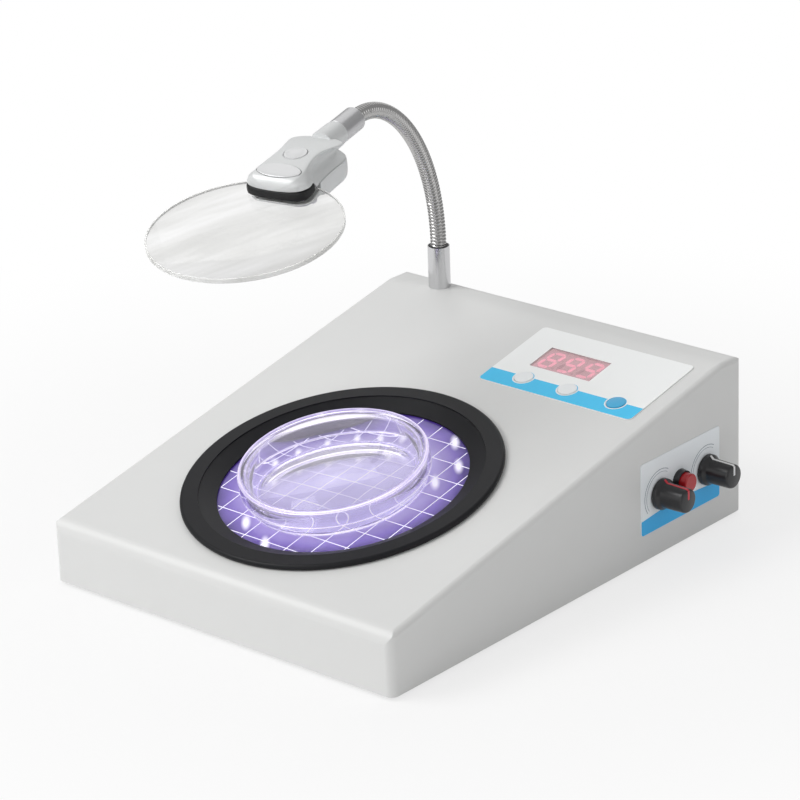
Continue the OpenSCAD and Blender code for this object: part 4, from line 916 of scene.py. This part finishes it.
def oval_pad():
    """The raised oval in front of the button, on the cover's gently rounded top."""
    cv, rx, rv, base, top = PAD_V, PAD_X, PAD_Y, PAD_BASE, PAD_TOP
    rings = [(1.0, base), (1.0, top - 0.42), (0.985, top - 0.3), (0.95, top - 0.2), (0.8, top - 0.12),
             (0.5, top - 0.04)]
    rows = []
    for f, h in rings:
        row = []
        for k in range(48):
            a = 2 * math.pi * k / 48
            x, v = rx * f * math.cos(a), cv + rv * f * math.sin(a)
            lift = curve_at(TOP_H, v) - curve_at(TOP_H, cv)
            row.append((x, v, h + (lift if h > base else 0.0) - 0.35 * (x / rx) ** 2))
        rows.append(row)
    ob = loft("head_pad", rows, IN_HEAD, SILVER_PALE, levels=1)
    apply_modifiers(ob, angle=50)
    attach(ob, "head")


oval_pad()


BELLY_H = [(29.8, -3.9), (30.4, -4.6), (34, -4.8), (42, -5.0), (46, -5.6), (49, -7.4), (51.5, -8.8),
           (54, -8.95), (66, -8.95), (72, -8.8), (76, -7.6), (79, -5.6), (80.5, -3.2), (80.9, -1.4)]
LIP_W = [(29.8, 8.0), (30.4, 11.5), (31.5, 14.0), (33, 15.7), (35, 16.45), (38, 16.6), (42, 16.3),
         (46, 15.4), (50, 14.7), (56, 14.5), (66, 14.9), (72, 15.3), (76, 14.6), (79, 12.0), (80.4, 9.0),
         (80.9, 6.0)]


def lower_rows():
    rows = []
    stations = [29.8, 30.1, 30.6, 31.4, 32.6, 34.2, 36.5, 39, 42, 45, 47, 48.4, 48.7, 50, 51.6, 54, 58, 62,
                66, 70, 73, 75.5, 77.8, 79.4, 80.4, 80.9]
    for v in stations:
        w = curve_at(LIP_W, v)
        bottom = curve_at(BELLY_H, v)
        if v < 48.6:
            top = -lens_height(min(v, LENS_R)) - 0.05
        else:
            top = curve_at(PART_H, v) - 0.12
        bulge = top - bottom
        half = [(0.0, top), (w * 0.5, top), (w * 0.9, top), (w - 0.25, top),
                (w, top - 0.3 * min(1.0, bulge * 0.3)),
                (w, top - bulge * 0.35), (w * 0.985, top - bulge * 0.6), (w * 0.965, top - bulge * 0.82),
                (w * 0.93, top - bulge * 0.94), (w * 0.86, top - bulge * 0.995), (w * 0.5, bottom),
                (0.0, bottom)]
        left = [(-x, h) for x, h in half[1:-1]]
        rows.append([(x, v, h) for x, h in half + left[::-1]])
    return rows


lower = loft("head_belly", lower_rows(), IN_HEAD, SILVER, levels=2)
apply_modifiers(lower, angle=28)
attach(lower, "head")
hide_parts("head_lower")

JAW_LO, JAW_HI, JAW_HALF_T, JAW_INSET = 1.6, 7.05, 1.9, 1.35


def jaw_rows():
    """A rounded black strip that follows the head's front between the lens and the cover."""
    rows = []
    n = 40
    for k in range(n + 1):
        a = math.radians(-90 + 180 * k / n)
        c, s_ = abs(math.cos(a)), math.sin(a)
        x = (NOSE_W + 0.05) * math.copysign(abs(s_) ** 0.8, s_)
        v = JAW_FRONT + NOSE - NOSE * c ** 0.8
        rows.append((x, v))
    ends = (41.6, 40.5, 38.5, 36.0)
    left, right = rows[0][0], rows[-1][0]
    path = [(left, v) for v in ends] + rows[1:-1] + [(right, v) for v in ends[::-1]]
    mid, half_h = (JAW_LO + JAW_HI) / 2, (JAW_HI - JAW_LO) / 2
    out = []
    m = len(path)
    for i, (x, v) in enumerate(path):
        p, q = path[max(i - 1, 0)], path[min(i + 1, m - 1)]
        d = Vector((q[0] - p[0], q[1] - p[1])).normalized()
        nx, nv = d.y, -d.x
        end = min(i, m - 1 - i)
        shrink = (0.55, 0.86, 0.97)[end] if end < 3 else 1.0
        sec = []
        for b in range(16):
            t = 2 * math.pi * b / 16
            ox = math.copysign(abs(math.cos(t)) ** 0.6, math.cos(t)) * JAW_HALF_T * shrink
            oh = math.copysign(abs(math.sin(t)) ** 0.6, math.sin(t)) * half_h * shrink
            sec.append((x + nx * (ox - JAW_INSET), v + nv * (ox - JAW_INSET), mid + oh))
        out.append(sec)
    return out


jaw = loft("jaw_band", jaw_rows(), IN_HEAD, RUBBER, levels=1)
apply_modifiers(jaw, angle=50)
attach(jaw, "head")
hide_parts("head_jaw")

# ---------------------------------------------------------------- sleeve
IN_SLEEVE = NECK_END @ turn(SWEEP + HOOK, "X")
SLEEVE_R, SLEEVE_START, COLLAR_START, COLLAR_END = 6.4, 1.8, 19.8, 34.5
CUP_R, CUP_OUT, CUP_DROP = 2.25, 2.75, 1.0


def cup_side(r, z):
    return math.sqrt(r * r - z * z)


cup = [(CUP_R * math.sin(math.radians(t)), CUP_R * math.cos(math.radians(t))) for t in range(0, 116, 5)]
outer = [(cup_side(CUP_OUT, -CUP_DROP), -CUP_DROP), (CUP_OUT, 0),
         (cup_side(CUP_OUT, SLEEVE_START), SLEEVE_START)]
tube = revolve("sleeve_tube", cup + outer + [(SLEEVE_R - 0.4, SLEEVE_START), (SLEEVE_R, SLEEVE_START + 0.4),
                                             (SLEEVE_R, COLLAR_START - 0.15),
                                           (SLEEVE_R - 0.15, COLLAR_START), (0, COLLAR_START)],
               IN_SLEEVE, TUBE, "head", steps=96, angle=35, closed=False)
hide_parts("sleeve")
revolve("sleeve_collar", [(0, COLLAR_START), (SLEEVE_R - 0.1, COLLAR_START),
                          (SLEEVE_R + 0.05, COLLAR_START + 0.15), (SLEEVE_R + 0.35, COLLAR_START + 3),
                          (SLEEVE_R + 0.5, COLLAR_END - 1), (SLEEVE_R + 0.3, COLLAR_END + 0.6),
                          (0, COLLAR_END + 0.6)],
        IN_SLEEVE, SILVER, "head", steps=96, angle=35, closed=False)

# ---------------------------------------------------------------- floor, light, camera
# In metres; the floor shows its own shadow near the object and fades to white between two distances
FLOOR_R, FLOOR_Z, FADE_FROM, FADE_TO = 6.0, -0.0002, 0.16, 0.50
SEEN_NEAR, SEEN_IN_GLOSS = 0.7, 0.3


def floor_material():
    """A pale floor that takes the shadow and is seen as white further off."""
    m, nt, b = new_material("floor_pale")
    nt.nodes.remove(b)
    out = nt.nodes["Material Output"]
    diff = nt.nodes.new("ShaderNodeBsdfDiffuse")
    diff.inputs["Color"].default_value = (0.9, 0.9, 0.9, 1)
    emit = nt.nodes.new("ShaderNodeEmission")
    emit.inputs["Color"].default_value = (1, 1, 1, 1)
    emit.inputs["Strength"].default_value = 1.0
    tc = nt.nodes.new("ShaderNodeTexCoord")
    ln = nt.nodes.new("ShaderNodeVectorMath")
    ln.operation = "LENGTH"
    nt.links.new(tc.outputs["Object"], ln.inputs[0])
    fade = nt.nodes.new("ShaderNodeMapRange")
    fade.interpolation_type = "SMOOTHSTEP"
    fade.inputs["From Min"].default_value = FADE_FROM
    fade.inputs["From Max"].default_value = FADE_TO
    nt.links.new(ln.outputs["Value"], fade.inputs["Value"])
    lp = nt.nodes.new("ShaderNodeLightPath")
    seen = math_node(nt, "MULTIPLY_ADD", lp.outputs["Is Glossy Ray"], SEEN_IN_GLOSS,
                     lp.outputs["Is Camera Ray"], clamp=True)
    seen = math_node(nt, "ADD", seen, lp.outputs["Is Transmission Ray"], clamp=True)
    far = math_node(nt, "MULTIPLY_ADD", fade.outputs["Result"], 1 - SEEN_NEAR, SEEN_NEAR)
    mix = nt.nodes.new("ShaderNodeMixShader")
    nt.links.new(math_node(nt, "MULTIPLY", seen, far), mix.inputs["Fac"])
    nt.links.new(diff.outputs["BSDF"], mix.inputs[1])
    nt.links.new(emit.outputs["Emission"], mix.inputs[2])
    nt.links.new(mix.outputs["Shader"], out.inputs["Surface"])
    return m


bm = bmesh.new()
bmesh.ops.create_grid(bm, x_segments=1, y_segments=1, size=FLOOR_R)
me = bpy.data.meshes.new("floor")
bm.to_mesh(me)
bm.free()
floor = bpy.data.objects.new("floor", me)
COLL.objects.link(floor)
floor.location.z = FLOOR_Z
me.materials.append(floor_material())

world = bpy.data.worlds.new("soft_room")
world.use_nodes = True
bpy.context.scene.world = world
wt = world.node_tree
bg = wt.nodes["Background"]
lp = wt.nodes.new("ShaderNodeLightPath")
seen = math_node(wt, "ADD", lp.outputs["Is Camera Ray"], lp.outputs["Is Transmission Ray"], clamp=True)
tc = wt.nodes.new("ShaderNodeTexCoord")
sep = wt.nodes.new("ShaderNodeSeparateXYZ")
wt.links.new(tc.outputs["Generated"], sep.inputs["Vector"])
up = ramp(wt, math_node(wt, "MULTIPLY_ADD", sep.outputs["Z"], 0.5, 0.5),
          [(0.45, (0.27, 0.27, 0.28)), (0.62, (0.36, 0.36, 0.36)), (1.0, (0.42, 0.42, 0.42))])
wt.links.new(mix_color(wt, seen, up, (1.0, 1.0, 1.0)), bg.inputs["Color"])
bg.inputs["Strength"].default_value = 1.0


def area(name, loc, target, size, watts):
    d = bpy.data.lights.new(name, "AREA")
    d.energy = watts
    d.size = size
    o = bpy.data.objects.new(name, d)
    o.location = loc
    o.rotation_euler = (Vector(target) - Vector(loc)).to_track_quat("-Z", "Y").to_euler()
    COLL.objects.link(o)


area("key", (-1.1, -1.2, 1.7), (0, 0, 0.05), 1.3, 28.5)
area("fill", (0.2, -1.6, 0.7), (0, 0, 0.05), 1.0, 4)
area("back", (-0.9, 1.3, 1.4), (0, 0, 0.1), 1.6, 5)
area("side", (1.6, 0.0, 0.8), (0, 0, 0.05), 1.2, 3.2)

AZIMUTH, ELEVATION, ROLL = 41.60, 21.75, -2.08
FOCAL_PX, FRAME_PX, SENSOR_W, DISTANCE = 3580.4, 800.0, 36.0, 1903.4
TARGET = (-82.4, 93.45, 29.3)
a, e, r = (math.radians(v) for v in (AZIMUTH, ELEVATION, ROLL))
back = Vector((math.sin(a) * math.cos(e), -math.cos(a) * math.cos(e), math.sin(e)))
right0 = Vector((0, 0, 1)).cross(back).normalized()
up0 = back.cross(right0)
right = math.cos(r) * right0 + math.sin(r) * up0
upward = -math.sin(r) * right0 + math.cos(r) * up0
eye = (Vector(TARGET) + back * DISTANCE) * MM
cam_data = bpy.data.cameras.new("camera")
cam_data.sensor_width = SENSOR_W
cam_data.lens = FOCAL_PX * SENSOR_W / FRAME_PX
cam_data.clip_start = 0.05
cam_data.clip_end = 30.0
cam = bpy.data.objects.new("camera", cam_data)
COLL.objects.link(cam)
cam.matrix_world = Matrix((
    (right.x, upward.x, back.x, eye.x),
    (right.y, upward.y, back.y, eye.y),
    (right.z, upward.z, back.z, eye.z),
    (0, 0, 0, 1),
))
bpy.context.scene.camera = cam
bpy.context.scene.view_settings.view_transform = "Standard"
